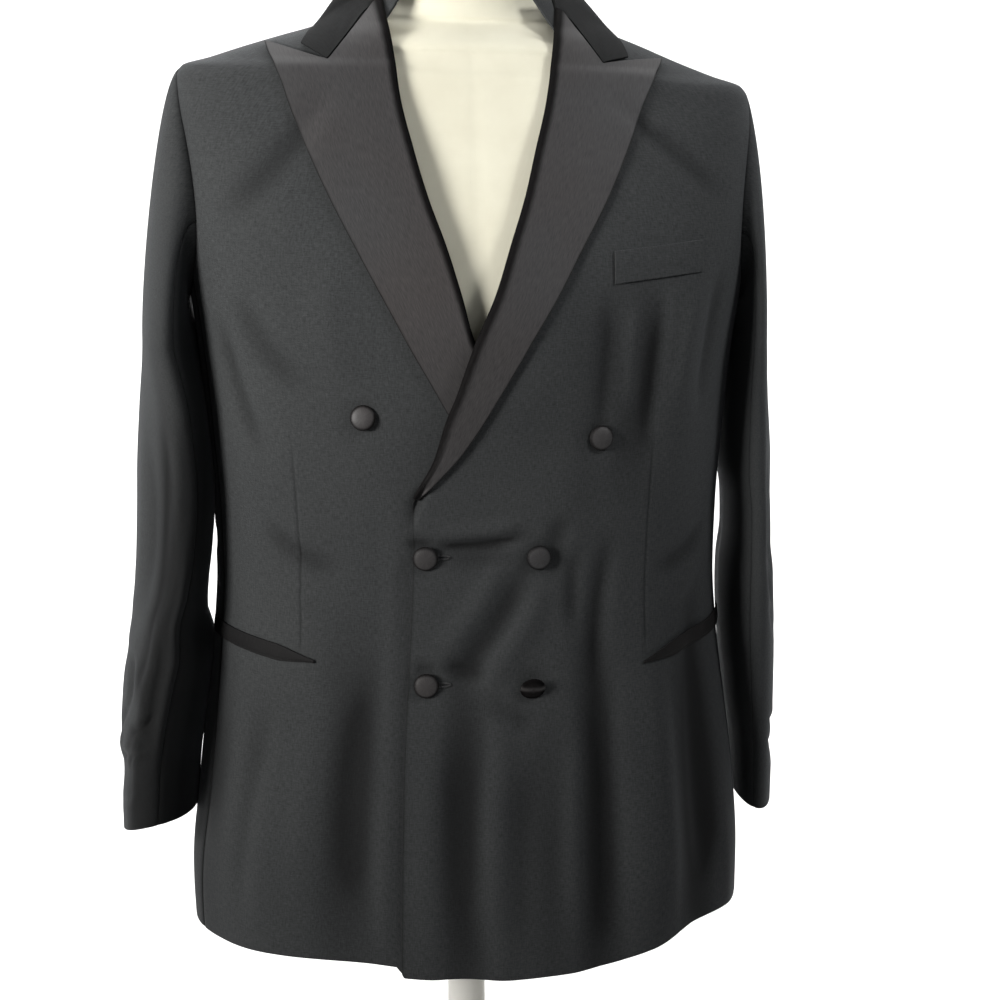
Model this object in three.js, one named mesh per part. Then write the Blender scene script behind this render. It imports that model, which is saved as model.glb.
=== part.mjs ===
// Double-breasted evening jacket with satin peak lapels, worn open-sleeved on a limbless dress form.
// Millimetres, +Z up. The front faces -Y, the wearer's left is +X, and the origin is the middle of the
// base plate's underside.
import * as THREE from 'three';

// Driving dimensions
const hemHeight = 150;          // lowest point of the jacket above the floor
const bodyThick = 1.8;          // wool with its canvas
const sleeveThick = 1.6;
const satinThick = 1.6;         // lapel and collar walls
const trimThick = 1.2;          // pocket jets and breast welt
const seamGap = 0.4;            // pieces stand this far apart at a seam
const clearance = 0.4;          // air between a piece and the panel that it lies on
const armholeGap = 0.6;         // air between a sleeve's edge and the body
const shoulderDrop = 0.029;     // the wearer's left shoulder hangs lower by this share of its reach
const shoulderSlump = 4;        // and its end by this much more
const buttonRadius = 10;
const buttonHeight = 5.5;
const formInset = 8;            // dress form inside the jacket's cloth, below the shoulders
const shoulderInset = 2.4;      // and under the shoulders, which carry the jacket
const hipInset = 10;            // more room round the form's hips
const formBottom = 205;
const neckTop = 996;
const capHeight = 9;
const poleRadius = 16;
const baseRadius = 150;
const baseThick = 12;

const rad = THREE.MathUtils.degToRad;
const { clamp, lerp, smoothstep } = THREE.MathUtils;

// Body sections from hem to neck. up is measured from the hem, half is the half width, front and back
// are the depths from the body's axis, and square is the exponent of the section's superellipse.
const bodyRows = [
  { up: 0, half: 229, front: 160, back: 150, square: 2.4 },
  { up: 60, half: 229, front: 158, back: 152, square: 2.4 },
  { up: 130, half: 225, front: 154, back: 149, square: 2.4 },
  { up: 200, half: 217, front: 150, back: 140, square: 2.4 },
  { up: 260, half: 210, front: 147, back: 129, square: 2.4 },
  { up: 310, half: 207, front: 146, back: 121, square: 2.4 },
  { up: 360, half: 208, front: 148, back: 119, square: 2.4 },
  { up: 430, half: 213, front: 153, back: 126, square: 2.4 },
  { up: 500, half: 219, front: 155, back: 135, square: 2.5 },
  { up: 560, half: 227, front: 147, back: 139, square: 2.7 },
  { up: 620, half: 233, front: 130, back: 136, square: 2.8 },
  { up: 670, half: 235, front: 110, back: 126, square: 2.7 },
  { up: 700, half: 232, front: 96, back: 115, square: 2.5 },
  { up: 710, half: 226, front: 92, back: 111, square: 2.4 },
  { up: 717, half: 204, front: 88, back: 108, square: 2.3 },
  { up: 726, half: 178, front: 85, back: 104, square: 2.2 },
  { up: 735, half: 150, front: 82, back: 100, square: 2.1 },
  { up: 745, half: 118, front: 78, back: 95, square: 2.0 },
  { up: 757, half: 93, front: 73, back: 88, square: 2.0 },
  { up: 770, half: 76, front: 66, back: 78, square: 2.0 },
];
const neckUp = 770;

// The hem rises from the front's middle towards the sides.
const hemRows = [
  { turn: -180, rise: 10 }, { turn: -120, rise: 12 }, { turn: -67, rise: 10.5 }, { turn: -52, rise: 12.3 },
  { turn: -36, rise: 12 }, { turn: -23.5, rise: 9 }, { turn: -22, rise: 1 }, { turn: 20, rise: 0 },
  { turn: 27, rise: 0 }, { turn: 34, rise: 1.5 }, { turn: 45, rise: 9.5 }, { turn: 59, rise: 21 },
  { turn: 80, rise: 24 }, { turn: 120, rise: 20 }, { turn: 180, rise: 10 },
];
const hemEase = 150;            // height over which the rise fades out

// Soft ridges (+) and troughs (-) of the body cloth: turn is the angle from the front's middle towards
// the wearer's left, wide and tall are half sizes in degrees and millimetres.
const bodyFolds = [
  { name: 'left skirt trough', turn: 34, up: 120, wide: 8, tall: 215, depth: -4.5 },
  { name: 'left skirt ridge', turn: 46, up: 90, wide: 8, tall: 200, depth: 4.5 },
  { name: 'left skirt side trough', turn: 61, up: 110, wide: 9, tall: 190, depth: -5 },
  { name: 'left skirt side ridge', turn: 75, up: 95, wide: 9, tall: 190, depth: 3 },
  { name: 'right skirt trough', turn: -37, up: 130, wide: 11, tall: 200, depth: -4 },
  { name: 'right skirt ridge', turn: -56, up: 60, wide: 12, tall: 150, depth: 3 },
  { name: 'right skirt side trough', turn: -74, up: 90, wide: 10, tall: 150, depth: -3 },
  { name: 'left chest trough', turn: 42, up: 470, wide: 9, tall: 110, depth: -3 },
  { name: 'left chest ridge', turn: 55, up: 500, wide: 9, tall: 120, depth: 3 },
  { name: 'button strain', turn: -2, up: 345, wide: 16, tall: 22, depth: -3 },
  { name: 'back waist trough', turn: 145, up: 330, wide: 16, tall: 45, depth: -4 },
  { name: 'back waist trough, right', turn: -150, up: 345, wide: 15, tall: 40, depth: -4 },
  { name: 'back skirt trough', turn: 158, up: 90, wide: 10, tall: 190, depth: -5 },
  { name: 'back skirt ridge', turn: 138, up: 80, wide: 10, tall: 190, depth: 4 },
  { name: 'back skirt trough, right', turn: -152, up: 100, wide: 11, tall: 200, depth: -5 },
  { name: 'back skirt ridge, right', turn: -132, up: 80, wide: 10, tall: 180, depth: 4 },
];

// Seams and edges. across is x on the front, up is the height above the hem.
const frontSeamTurn = 76.5;
const backSeamTurn = 103.5;
const armhole = { up: 619, tall: 89, wide: 17.5, egg: 0.35 };
const seamTopUp = 548;
const edgeTurnHem = -22.8;
const edgeTurnBreak = -20.2;
const breakUp = 384;
const underlapTurn = 21;
const neckCutUp = 752;          // above this the front is cut away round the collar's stand
const neckCutTurn = 76;

// The two fronts, each measured towards its own side: the roll line, the lapel's outer edge, the corners
// of its top and the places where the roll and the edge start.
const leftLapel = {
  side: 1,
  rollTop: 757,
  low: { roll: 400, edge: 398 },
  notch: { across: 101, up: 719 },
  tip: { across: 153, up: 726 },
  roll: [
    { up: 384, across: -54 }, { up: 394, across: -48.5 }, { up: 416, across: -36.5 },
    { up: 450, across: -25 }, { up: 466, across: -18.3 }, { up: 504, across: -4 },
    { up: 540, across: 12.8 }, { up: 577, across: 25.6 }, { up: 615, across: 38.6 },
    { up: 652, across: 48.7 }, { up: 690, across: 59.2 }, { up: 728, across: 66 },
    { up: 747, across: 69.2 }, { up: 757, across: 71 },
  ],
  edge: [
    { up: 380, across: -55 }, { up: 396, across: -40.5 }, { up: 421, across: -18.2 },
    { up: 441, across: -4.6 }, { up: 467, across: 11.1 }, { up: 508, across: 35.4 },
    { up: 541, across: 56.5 }, { up: 579, across: 78 }, { up: 616, across: 98.7 },
    { up: 654, across: 116.6 }, { up: 692, across: 132.8 }, { up: 711, across: 142.8 },
    { up: 726, across: 153 },
  ],
};
const rightLapel = {
  side: -1,
  rollTop: 761,
  low: { roll: 507, edge: 462 },
  notch: { across: 112, up: 715.5 },
  tip: { across: 160, up: 728.5 },
  roll: [
    { up: 384, across: -54 }, { up: 404, across: -45 }, { up: 428, across: -35 },
    { up: 474, across: -12 }, { up: 507, across: 8.6 }, { up: 540, across: 18.1 },
    { up: 577, across: 29.7 }, { up: 614, across: 43 }, { up: 650, across: 53.2 },
    { up: 687, across: 61.7 }, { up: 725, across: 66.2 }, { up: 747, across: 69.4 },
    { up: 761, across: 71 },
  ],
  edge: [
    { up: 440, across: 18 }, { up: 455, across: 27.4 }, { up: 475, across: 38.7 },
    { up: 503, across: 54.8 }, { up: 540, across: 75.1 }, { up: 576, across: 94.5 },
    { up: 612, across: 113.1 }, { up: 648, across: 129.5 }, { up: 685, across: 143.8 },
    { up: 700, across: 148.5 }, { up: 721, across: 157.6 }, { up: 728.5, across: 160 },
  ],
};

// Collar on either side, from the gorge round to the middle of the back. foot is the stand's lower edge,
// fold its top, bulge the fall's swell, and the fall's edge lies on the body at edgeTurn and edgeUp.
const collarLeft = [
  { turn: 57, footOut: 74, footUp: 755, foldOut: 83, foldUp: 762.5, bulge: 3, edgeTurn: 61, edgeUp: 724 },
  { turn: 64, footOut: 74, footUp: 764, foldOut: 78, foldUp: 772, bulge: 3, edgeTurn: 64.2, edgeUp: 731 },
  { turn: 72, footOut: 74, footUp: 772, foldOut: 74, foldUp: 781, bulge: 4, edgeTurn: 69, edgeUp: 738 },
  { turn: 90, footOut: 75, footUp: 772, foldOut: 71, foldUp: 794, bulge: 4, edgeTurn: 83, edgeUp: 747 },
  { turn: 115, footOut: 76, footUp: 772, foldOut: 71, foldUp: 803, bulge: 3, edgeTurn: 115, edgeUp: 752 },
  { turn: 145, footOut: 77, footUp: 772, foldOut: 72, foldUp: 809, bulge: 3, edgeTurn: 145, edgeUp: 755 },
  { turn: 180, footOut: 77.5, footUp: 772, foldOut: 73, foldUp: 812, bulge: 3, edgeTurn: 180, edgeUp: 757 },
];
const collarRight = [
  { turn: 62, footOut: 73, footUp: 761, foldOut: 79, foldUp: 764.5, bulge: 3, edgeTurn: 65.7, edgeUp: 727 },
  { turn: 67, footOut: 73, footUp: 768, foldOut: 76, foldUp: 773, bulge: 11.5, edgeTurn: 68.6, edgeUp: 733 },
  { turn: 74, footOut: 74, footUp: 772, foldOut: 73, foldUp: 782, bulge: 12.5, edgeTurn: 73, edgeUp: 739 },
  { turn: 90, footOut: 75, footUp: 772, foldOut: 71, foldUp: 794, bulge: 7, edgeTurn: 85, edgeUp: 747 },
  { turn: 115, footOut: 76, footUp: 772, foldOut: 71, foldUp: 803, bulge: 3, edgeTurn: 115, edgeUp: 752 },
  { turn: 145, footOut: 77, footUp: 772, foldOut: 72, foldUp: 809, bulge: 3, edgeTurn: 145, edgeUp: 755 },
  { turn: 180, footOut: 77.5, footUp: 772, foldOut: 73, foldUp: 812, bulge: 3, edgeTurn: 180, edgeUp: 757 },
];

// Sleeve sections below the armhole. out is the middle's distance from the body's axis, back its place
// behind it, thick and deep are half sizes, and turn swings the front of the section outwards.
const sleeveRight = [
  { height: 648, out: 243, back: 2, thick: 20, deep: 93, turn: 1 },
  { height: 593, out: 242.5, back: 0, thick: 25, deep: 89, turn: -5 },
  { height: 508, out: 242, back: -3, thick: 29, deep: 82, turn: -8 },
  { height: 465, out: 243.5, back: -5, thick: 31, deep: 80, turn: -4 },
  { height: 422, out: 247, back: -8, thick: 33, deep: 78, turn: 3 },
  { height: 380, out: 251, back: -10, thick: 33.8, deep: 75, turn: 5 },
  { height: 335, out: 255, back: -12, thick: 33.3, deep: 72, turn: 7 },
  { height: 290, out: 258.7, back: -13, thick: 31.5, deep: 66, turn: 8 },
  { height: 240, out: 260.3, back: -14, thick: 29.3, deep: 61, turn: 9 },
];
const sleeveLeft = [
  { height: 648, out: 234.5, back: 3, thick: 12.5, deep: 97, turn: -3 },
  { height: 593, out: 236, back: 2, thick: 17.5, deep: 91, turn: -4 },
  { height: 508, out: 236, back: 0, thick: 20.5, deep: 84, turn: -4 },
  { height: 422, out: 240.5, back: 4, thick: 20, deep: 80, turn: -3 },
  { height: 335, out: 246.5, back: 14, thick: 18.5, deep: 75, turn: -3 },
  { height: 290, out: 250, back: 20, thick: 16.5, deep: 71, turn: -3 },
  { height: 243, out: 252, back: 26, thick: 15.5, deep: 67, turn: -3 },
];
// Folds of the sleeves: angle is 0 at the front, 90 outside and 180 behind.
const sleeveFolds = [
  { name: 'right front trough', side: -1, angle: 42, height: 500, wide: 34, tall: 150, depth: -5 },
  { name: 'right outer ridge', side: -1, angle: 84, height: 430, wide: 36, tall: 170, depth: 3 },
  { name: 'right cuff crease', side: -1, angle: 50, height: 292, wide: 48, tall: 26, depth: -4 },
  { name: 'right elbow crease', side: -1, angle: 150, height: 430, wide: 50, tall: 30, depth: -5 },
  { name: 'left front trough', side: 1, angle: 48, height: 520, wide: 34, tall: 150, depth: -4 },
  { name: 'left cuff crease', side: 1, angle: 60, height: 300, wide: 48, tall: 26, depth: -3 },
  { name: 'left elbow crease', side: 1, angle: 145, height: 445, wide: 50, tall: 32, depth: -4 },
];
const sleeveSeamFront = -18;
const sleeveSeamBack = 196;
const sleeveSeamGap = 0.7;
const cuffRise = 9;             // the cuff's back edge is cut this much higher than its front

// A named column of a table of rows, between rows by a cubic that never overshoots them.
function column(rows, key, name, at) {
  const last = rows.length - 1;
  const x = clamp(at, rows[0][key], rows[last][key]);
  let i = 0;
  while (i < last - 1 && x > rows[i + 1][key]) i += 1;
  const run = (k) => rows[k + 1][key] - rows[k][key];
  const slope = (k) => (rows[k + 1][name] - rows[k][name]) / run(k);
  const tangent = (k) => {
    if (k === 0) return slope(0);
    if (k === last) return slope(last - 1);
    const before = slope(k - 1);
    const after = slope(k);
    if (before * after <= 0) return 0;
    const w1 = 2 * run(k) + run(k - 1);
    const w2 = run(k) + 2 * run(k - 1);
    return (w1 + w2) / (w1 / before + w2 / after);
  };
  const h = run(i);
  const t = (x - rows[i][key]) / h;
  const rise = rows[i + 1][name] - rows[i][name];
  const a = tangent(i) * h - rise;
  const b = -tangent(i + 1) * h + rise;
  return lerp(rows[i][name], rows[i + 1][name], t) + t * (1 - t) * (a * (1 - t) + b * t);
}

function section(up) {
  return {
    half: column(bodyRows, 'up', 'half', up),
    front: column(bodyRows, 'up', 'front', up),
    back: column(bodyRows, 'up', 'back', up),
    square: column(bodyRows, 'up', 'square', up),
  };
}

// Smooth body before folds: a superellipse at each height, sunk a little towards the lower shoulder.
const slump = { from: 115, to: 185, low: 570, high: 690 };

function smoothBody(turn, up) {
  const s = section(up);
  const angle = rad(turn);
  const depth = Math.cos(angle) > 0 ? s.front : s.back;
  const across = Math.abs(Math.sin(angle) / s.half) ** s.square;
  const reach = (across + Math.abs(Math.cos(angle) / depth) ** s.square) ** (-1 / s.square);
  const x = reach * Math.sin(angle);
  const tilt = shoulderDrop * smoothstep(up, 300, 700) * x;
  const sunk = shoulderSlump * smoothstep(x, slump.from, slump.to) * smoothstep(up, slump.low, slump.high);
  return new THREE.Vector3(x, -reach * Math.cos(angle), hemHeight + up - tilt - sunk);
}

function bodyNormal(turn, up) {
  const step = 0.5;
  const round = smoothBody(turn + step, up).sub(smoothBody(turn - step, up));
  const rise = smoothBody(turn, Math.min(up + step, neckUp)).sub(smoothBody(turn, Math.max(up - step, 0)));
  return round.cross(rise).normalize();
}

// One at the middle of a fold, nothing at its rim.
function hump(distance) {
  const d = Math.min(Math.abs(distance), 1);
  return (1 - d * d) ** 2;
}

function foldDepth(turn, up) {
  let depth = 0;
  for (const fold of bodyFolds) {
    depth += fold.depth * hump((turn - fold.turn) / fold.wide) * hump((up - fold.up) / fold.tall);
  }
  return depth;
}

function bodyPoint(turn, upAtFront, out) {
  const wrapped = ((turn + 540) % 360) - 180;
  const up = upAtFront + column(hemRows, 'turn', 'rise', wrapped) * (1 - smoothstep(upAtFront, 0, hemEase));
  const lift = out + foldDepth(wrapped, up);
  return smoothBody(turn, up).addScaledVector(bodyNormal(turn, up), lift);
}

// Angle on the front at which the section reaches a given x.
function turnAt(across, up) {
  const s = section(up);
  const share = clamp(Math.abs(across / s.half) ** s.square, 0, 1);
  return THREE.MathUtils.radToDeg(Math.atan2(across, s.front * (1 - share) ** (1 / s.square)));
}

function frontPoint(across, up, out) {
  return bodyPoint(turnAt(across, up), up, out);
}

// Half width of the armhole in degrees at a height.
function armholeWidth(up) {
  const c = clamp((up - armhole.up) / armhole.tall, -1, 1);
  return armhole.wide * Math.sqrt(1 - c * c) * (1 - armhole.egg * c);
}

// Closed wall of one thickness about a grid of middle points, with square edges all round. A smooth
// surface is given as a function, so its normals are taken close by, past its side edges too.
function clothWall(rows, columns, thick, middle, smooth = true) {
  const grid = [];
  for (let i = 0; i <= rows; i += 1) {
    const line = [];
    for (let j = 0; j <= columns; j += 1) line.push(middle(i / rows, j / columns));
    grid.push(line);
  }
  const near = 0.002;
  const sides = [[], []];
  for (let i = 0; i <= rows; i += 1) {
    for (let j = 0; j <= columns; j += 1) {
      let along = grid[Math.min(i + 1, rows)][j].clone().sub(grid[Math.max(i - 1, 0)][j]);
      let across = grid[i][Math.min(j + 1, columns)].clone().sub(grid[i][Math.max(j - 1, 0)]);
      if (smooth) {
        const [row, place] = [i / rows, j / columns];
        along = middle(Math.min(row + near, 1), place).sub(middle(Math.max(row - near, 0), place));
        across = middle(row, place + near).sub(middle(row, place - near));
      }
      const normal = across.cross(along).normalize();
      sides[0].push(grid[i][j].clone().addScaledVector(normal, thick / 2));
      sides[1].push(grid[i][j].clone().addScaledVector(normal, -thick / 2));
    }
  }
  const faces = [];
  const width = columns + 1;
  const shift = (rows + 1) * width;
  const quad = (a, b, c, d) => faces.push(a, b, c, a, c, d);
  for (let i = 0; i < rows; i += 1) {
    for (let j = 0; j < columns; j += 1) {
      const a = i * width + j;
      quad(a, a + 1, a + width + 1, a + width);
      quad(shift + a, shift + a + width, shift + a + width + 1, shift + a + 1);
    }
  }
  for (let j = 0; j < columns; j += 1) {
    const top = rows * width + j;
    quad(j + 1, j, shift + j, shift + j + 1);
    quad(top, top + 1, shift + top + 1, shift + top);
  }
  for (let i = 0; i < rows; i += 1) {
    const left = i * width;
    const right = left + columns;
    quad(left, left + width, shift + left + width, shift + left);
    quad(right + width, right, shift + right, shift + right + width);
  }
  return closedGeometry([...sides[0], ...sides[1]], faces);
}

// Geometry from shared points, turned so that its faces point out.
function closedGeometry(points, faces) {
  let volume = 0;
  for (let k = 0; k < faces.length; k += 3) {
    const [a, b, c] = [points[faces[k]], points[faces[k + 1]], points[faces[k + 2]]];
    volume += a.dot(b.clone().cross(c));
  }
  if (volume < 0) faces.reverse();
  const geometry = new THREE.BufferGeometry();
  const places = points.flatMap((p) => [p.x, p.y, p.z]);
  geometry.setAttribute('position', new THREE.Float32BufferAttribute(places, 3));
  geometry.setIndex(faces);
  return geometry;
}

// Closed solid through a stack of rings with a fan on each end.
function ringSolid(rings) {
  const sides = rings[0].length;
  const points = rings.flat();
  const faces = [];
  for (let i = 0; i < rings.length - 1; i += 1) {
    for (let j = 0; j < sides; j += 1) {
      const next = (j + 1) % sides;
      const a = i * sides;
      const b = a + sides;
      faces.push(a + j, a + next, b + next, a + j, b + next, b + j);
    }
  }
  const sumOf = (ring) => ring.reduce((sum, p) => sum.add(p), new THREE.Vector3());
  const middleOf = (ring) => sumOf(ring).divideScalar(sides);
  const last = (rings.length - 1) * sides;
  const low = points.push(middleOf(rings[0])) - 1;
  const high = points.push(middleOf(rings[rings.length - 1])) - 1;
  for (let j = 0; j < sides; j += 1) {
    const next = (j + 1) % sides;
    faces.push(low, next, j, high, last + j, last + next);
  }
  return closedGeometry(points, faces);
}

// Levels of the body's grids above the hem, packed closer where the shoulder turns over.
const bodyLevels = [
  0, 50, 100, 150, 205, 260, 310, 350, 384, 405, 430, 470, 510, 548, 580, 615, 655, 685, 702, 709, 714, 720,
  728, 738, 750, 770,
];
const bodyRowCount = bodyLevels.length - 1;

function levelAt(share) {
  const place = share * bodyRowCount;
  const i = Math.min(Math.floor(place), bodyRowCount - 1);
  return lerp(bodyLevels[i], bodyLevels[i + 1], place - i);
}

// Degrees that make half a seam's gap at a point of the body.
function halfGap(turn, up) {
  const reach = smoothBody(turn, up).setZ(0).length();
  return THREE.MathUtils.radToDeg(seamGap / 2 / reach);
}

// Outer limit of a front: its side seam, then the armhole's front. A back's limit is 180 less this.
function sideLimit(up) {
  if (up < seamTopUp) return frontSeamTurn;
  return 90 - armholeWidth(up);
}

// The left front lies over the right one: out by one layer, and further where it crosses the lapel below.
const lapStep = 2.6;
const lapCrossing = { across: -4, up: 503, flat: 38, reach: 108, lift: 6.2 };
const lapFade = { turnFrom: 23, turnTo: 34, upFrom: 500, upTo: 600 };

function lapLift(across, up) {
  const inTurn = 1 - smoothstep(turnAt(across, up), lapFade.turnFrom, lapFade.turnTo);
  const over = inTurn * (1 - smoothstep(up, lapFade.upFrom, lapFade.upTo));
  const distance = Math.hypot(across - lapCrossing.across, up - lapCrossing.up);
  const crossing = 1 - smoothstep(distance, lapCrossing.flat, lapCrossing.reach);
  return lapStep * over + lapCrossing.lift * crossing;
}

function leftFrontPoint(turn, up, out) {
  const across = smoothBody(turn, up).x;
  return bodyPoint(turn, up, out + lapLift(across, up));
}

// Edge of a front above its break, towards its own side: the roll line, then the cut round the neck.
function rollTurn(front, up) {
  const atRoll = (level) => turnAt(column(front.roll, 'up', 'across', level), level);
  if (up > neckCutUp) return lerp(atRoll(neckCutUp), neckCutTurn, (up - neckCutUp) / (neckUp - neckCutUp));
  return atRoll(up);
}

const edgeCurveUp = 150;        // the left front's edge is straight below this

function leftEdgeTurn(up) {
  if (up < breakUp) return lerp(edgeTurnHem, edgeTurnBreak, smoothstep(up, edgeCurveUp, breakUp));
  return rollTurn(leftLapel, up);
}

function rightEdgeTurn(up) {
  return up < breakUp ? underlapTurn : -rollTurn(rightLapel, up);
}

function frontPanel(side) {
  const columns = 15;
  return clothWall(bodyRowCount, columns, bodyThick, (rowShare, columnShare) => {
    const up = levelAt(rowShare);
    const outer = sideLimit(up);
    const gap = halfGap(outer, up);
    if (side > 0) return leftFrontPoint(lerp(leftEdgeTurn(up), outer - gap, columnShare), up, 0);
    return bodyPoint(lerp(rightEdgeTurn(up), -outer + gap, columnShare), up, 0);
  });
}

function sidePanel(side) {
  const armholeFoot = armhole.up - armhole.tall;
  return clothWall(14, 5, bodyThick, (rowShare, columnShare) => {
    const dip = Math.sqrt(Math.max(0, 1 - (columnShare * 2 - 1) ** 2));
    const up = lerp(0, lerp(seamTopUp, armholeFoot, dip), rowShare);
    const gap = halfGap(90, up);
    return bodyPoint(side * lerp(frontSeamTurn + gap, backSeamTurn - gap, columnShare), up, 0);
  });
}

function backPanel(side) {
  const columns = 9;
  return clothWall(bodyRowCount, columns, bodyThick, (rowShare, columnShare) => {
    const up = levelAt(rowShare);
    const outer = 180 - sideLimit(up);
    const gap = halfGap(outer, up);
    return bodyPoint(side * lerp(outer + gap, 180 - halfGap(180, up), columnShare), up, 0);
  });
}

// Lapel: from the fold beside the front's roll line, over a soft roll, to its free outer edge. beyond is
// the place across it in millimetres from the roll line, lift its height over the front.
const lapelRoll = [
  { beyond: -1.4, lift: 0.4 }, { beyond: -3.6, lift: 1.7 }, { beyond: -3.0, lift: 4.1 },
  { beyond: 0.5, lift: 5.4 }, { beyond: 7, lift: 5.0 },
];
const lapelFlat = [0.22, 0.41, 0.6, 0.8, 1];
const notchShare = 0.41;
const lapelLift = 3.2;          // of the lapel's outer edge over the front
const rollSpan = 7;             // the roll ends this far from the roll line, at the last lift above
const settleSpan = 40;
const fullRollWidth = 34;       // a lapel narrower than this has a smaller roll
const leastBeyond = 1.2;        // the roll's fold clears the front's edge by at least this
const lowRoll = 0.75;           // share of the lifts that the narrowest lapel keeps
const notchBend = { from: 0.72, ease: 1.6 };    // where its rows start to bend to the notched top
const rowEase = 1.5;            // rows of the lapel's grid lie closer together towards the top

function lapelPlace(front, heightShare, rollAt, edgeAt, widthShare) {
  const { notch, tip, roll, rollTop } = front;
  const rollTopAcross = column(roll, 'up', 'across', rollTop);
  const dip = widthShare < notchShare ? widthShare / notchShare : (1 - widthShare) / (1 - notchShare);
  const bend = dip * clamp((heightShare - notchBend.from) / (1 - notchBend.from), 0, 1) ** notchBend.ease;
  return {
    across: lerp(rollAt.across, edgeAt.across, widthShare)
      + bend * (notch.across - lerp(rollTopAcross, tip.across, notchShare)),
    up: lerp(rollAt.up, edgeAt.up, widthShare) + bend * (notch.up - lerp(rollTop, tip.up, notchShare)),
  };
}

function lapelPoint(front, heightShare, columnIndex) {
  const rollUp = lerp(front.low.roll, front.rollTop, heightShare);
  const edgeUp = lerp(front.low.edge, front.tip.up, heightShare);
  const rollAt = { across: column(front.roll, 'up', 'across', rollUp), up: rollUp };
  const edgeAt = { across: column(front.edge, 'up', 'across', edgeUp), up: edgeUp };
  const width = Math.hypot(edgeAt.across - rollAt.across, edgeAt.up - rollAt.up);
  const small = Math.min(1, width / fullRollWidth);
  const inRoll = columnIndex < lapelRoll.length;
  const roll = lapelRoll[Math.min(columnIndex, lapelRoll.length - 1)];
  const beyond = roll.beyond < 0 ? Math.min(roll.beyond * small, -leastBeyond) : roll.beyond * small;
  const share = inRoll ? beyond / width : lapelFlat[columnIndex - lapelRoll.length];
  const place = lapelPlace(front, heightShare, rollAt, edgeAt, share);
  const settle = clamp((share * width - rollSpan * small) / settleSpan, 0, 1);
  const lift = inRoll ? roll.lift * lerp(lowRoll, 1, small) : lerp(roll.lift, lapelLift, settle);
  const over = front.side > 0 ? lapLift(place.across, place.up) : 0;
  return frontPoint(front.side * place.across, place.up, lift + over);
}

function lapel(front) {
  const rows = 18;
  const columns = lapelRoll.length + lapelFlat.length - 1;
  return clothWall(rows, columns, satinThick, (rowShare, columnShare) => (
    lapelPoint(front, 1 - (1 - rowShare) ** rowEase, Math.round(columnShare * columns))
  ), false);
}

// Collar: up its stand, over the fold, and down the fall to the edge that lies on the shoulders.
const foldHalf = 2.5;
const foldRound = 2.4;
const gorgeEase = 0.9;          // rows of the collar's grid lie closer together towards the gorge
const fallShares = [0.3, 0.62, 0.81, 1];
const fallNotchShare = 0.62;
const collarReach = 70;         // over which the lower shoulder's tilt is carried to the collar
const gorgeLift = { roll: 4.9, edge: 3.6 };
const gorgeEnd = { fall: 84, notch: 72 };       // turns at which the front's laid shape has faded out

function polar(turn, out, height) {
  return new THREE.Vector3(out * Math.sin(rad(turn)), -out * Math.cos(rad(turn)), height);
}

function collarPoint(turnNow, columnIndex) {
  const turn = Math.abs(turnNow);
  const front = turnNow < 0 ? rightLapel : leftLapel;
  const side = front.side;
  const rows = collarRows(side);
  const value = (name) => column(rows, 'turn', name, turn);
  const tilt = shoulderDrop * collarReach * Math.sin(rad(turn)) * side;
  const foldOut = value('foldOut');
  const foldHeight = hemHeight + value('foldUp') - tilt;
  const foot = polar(turn, value('footOut'), hemHeight + value('footUp') - tilt);
  const inner = polar(turn, foldOut - foldHalf, foldHeight - foldRound);
  const outer = polar(turn, foldOut + foldHalf, foldHeight - foldRound);
  const mirror = (p) => p.multiply(new THREE.Vector3(side, 1, 1));
  if (columnIndex === 0) return mirror(foot);
  if (columnIndex === 1) return mirror(foot.lerp(inner, 0.5));
  if (columnIndex === 2) return mirror(inner);
  if (columnIndex === 3) return mirror(polar(turn, foldOut, foldHeight));
  if (columnIndex === 4) return mirror(outer);
  const share = fallShares[columnIndex - 5];
  const corner = { turn: value('edgeTurn'), up: value('edgeUp') };
  const chord = mirror(outer.clone()).lerp(bodyPoint(side * corner.turn, corner.up, gorgeLift.edge), share);
  chord.z += value('bulge') * Math.sin(Math.PI * share);
  const nearGorge = 1 - smoothstep(turn, rows[0].turn, gorgeEnd.fall);
  const notchFade = 1 - smoothstep(turn, rows[0].turn, gorgeEnd.notch);
  return chord.lerp(gorgeSide(front, corner, notchFade, share), nearGorge);
}

function collarRows(side) {
  return side > 0 ? collarLeft : collarRight;
}

// Front of the fall, laid on the body between the roll line and the fall's corner through the notch, and
// a little above the lapel's top edge.
const gorgeGap = { across: 1, up: 2.6 };        // at the roll line
const notchGap = { across: 0.6, up: 0.9 };

function gorgeSide(front, corner, notchFade, share) {
  const { side, notch, roll, rollTop } = front;
  const cornerAcross = Math.abs(smoothBody(side * corner.turn, corner.up).x);
  const rollAcross = column(roll, 'up', 'across', rollTop) + gorgeGap.across;
  const rollUp = rollTop + gorgeGap.up;
  const nearNotch = share < fallNotchShare;
  const dip = nearNotch ? share / fallNotchShare : (1 - share) / (1 - fallNotchShare);
  const bend = dip * notchFade;
  const notchAcross = notch.across + notchGap.across - lerp(rollAcross, cornerAcross, fallNotchShare);
  const notchUp = notch.up + notchGap.up - lerp(rollUp, corner.up, fallNotchShare);
  const across = lerp(rollAcross, cornerAcross, share) + bend * notchAcross;
  const up = lerp(rollUp, corner.up, share) + bend * notchUp;
  return frontPoint(side * across, up, lerp(gorgeLift.roll, gorgeLift.edge, share));
}

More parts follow.
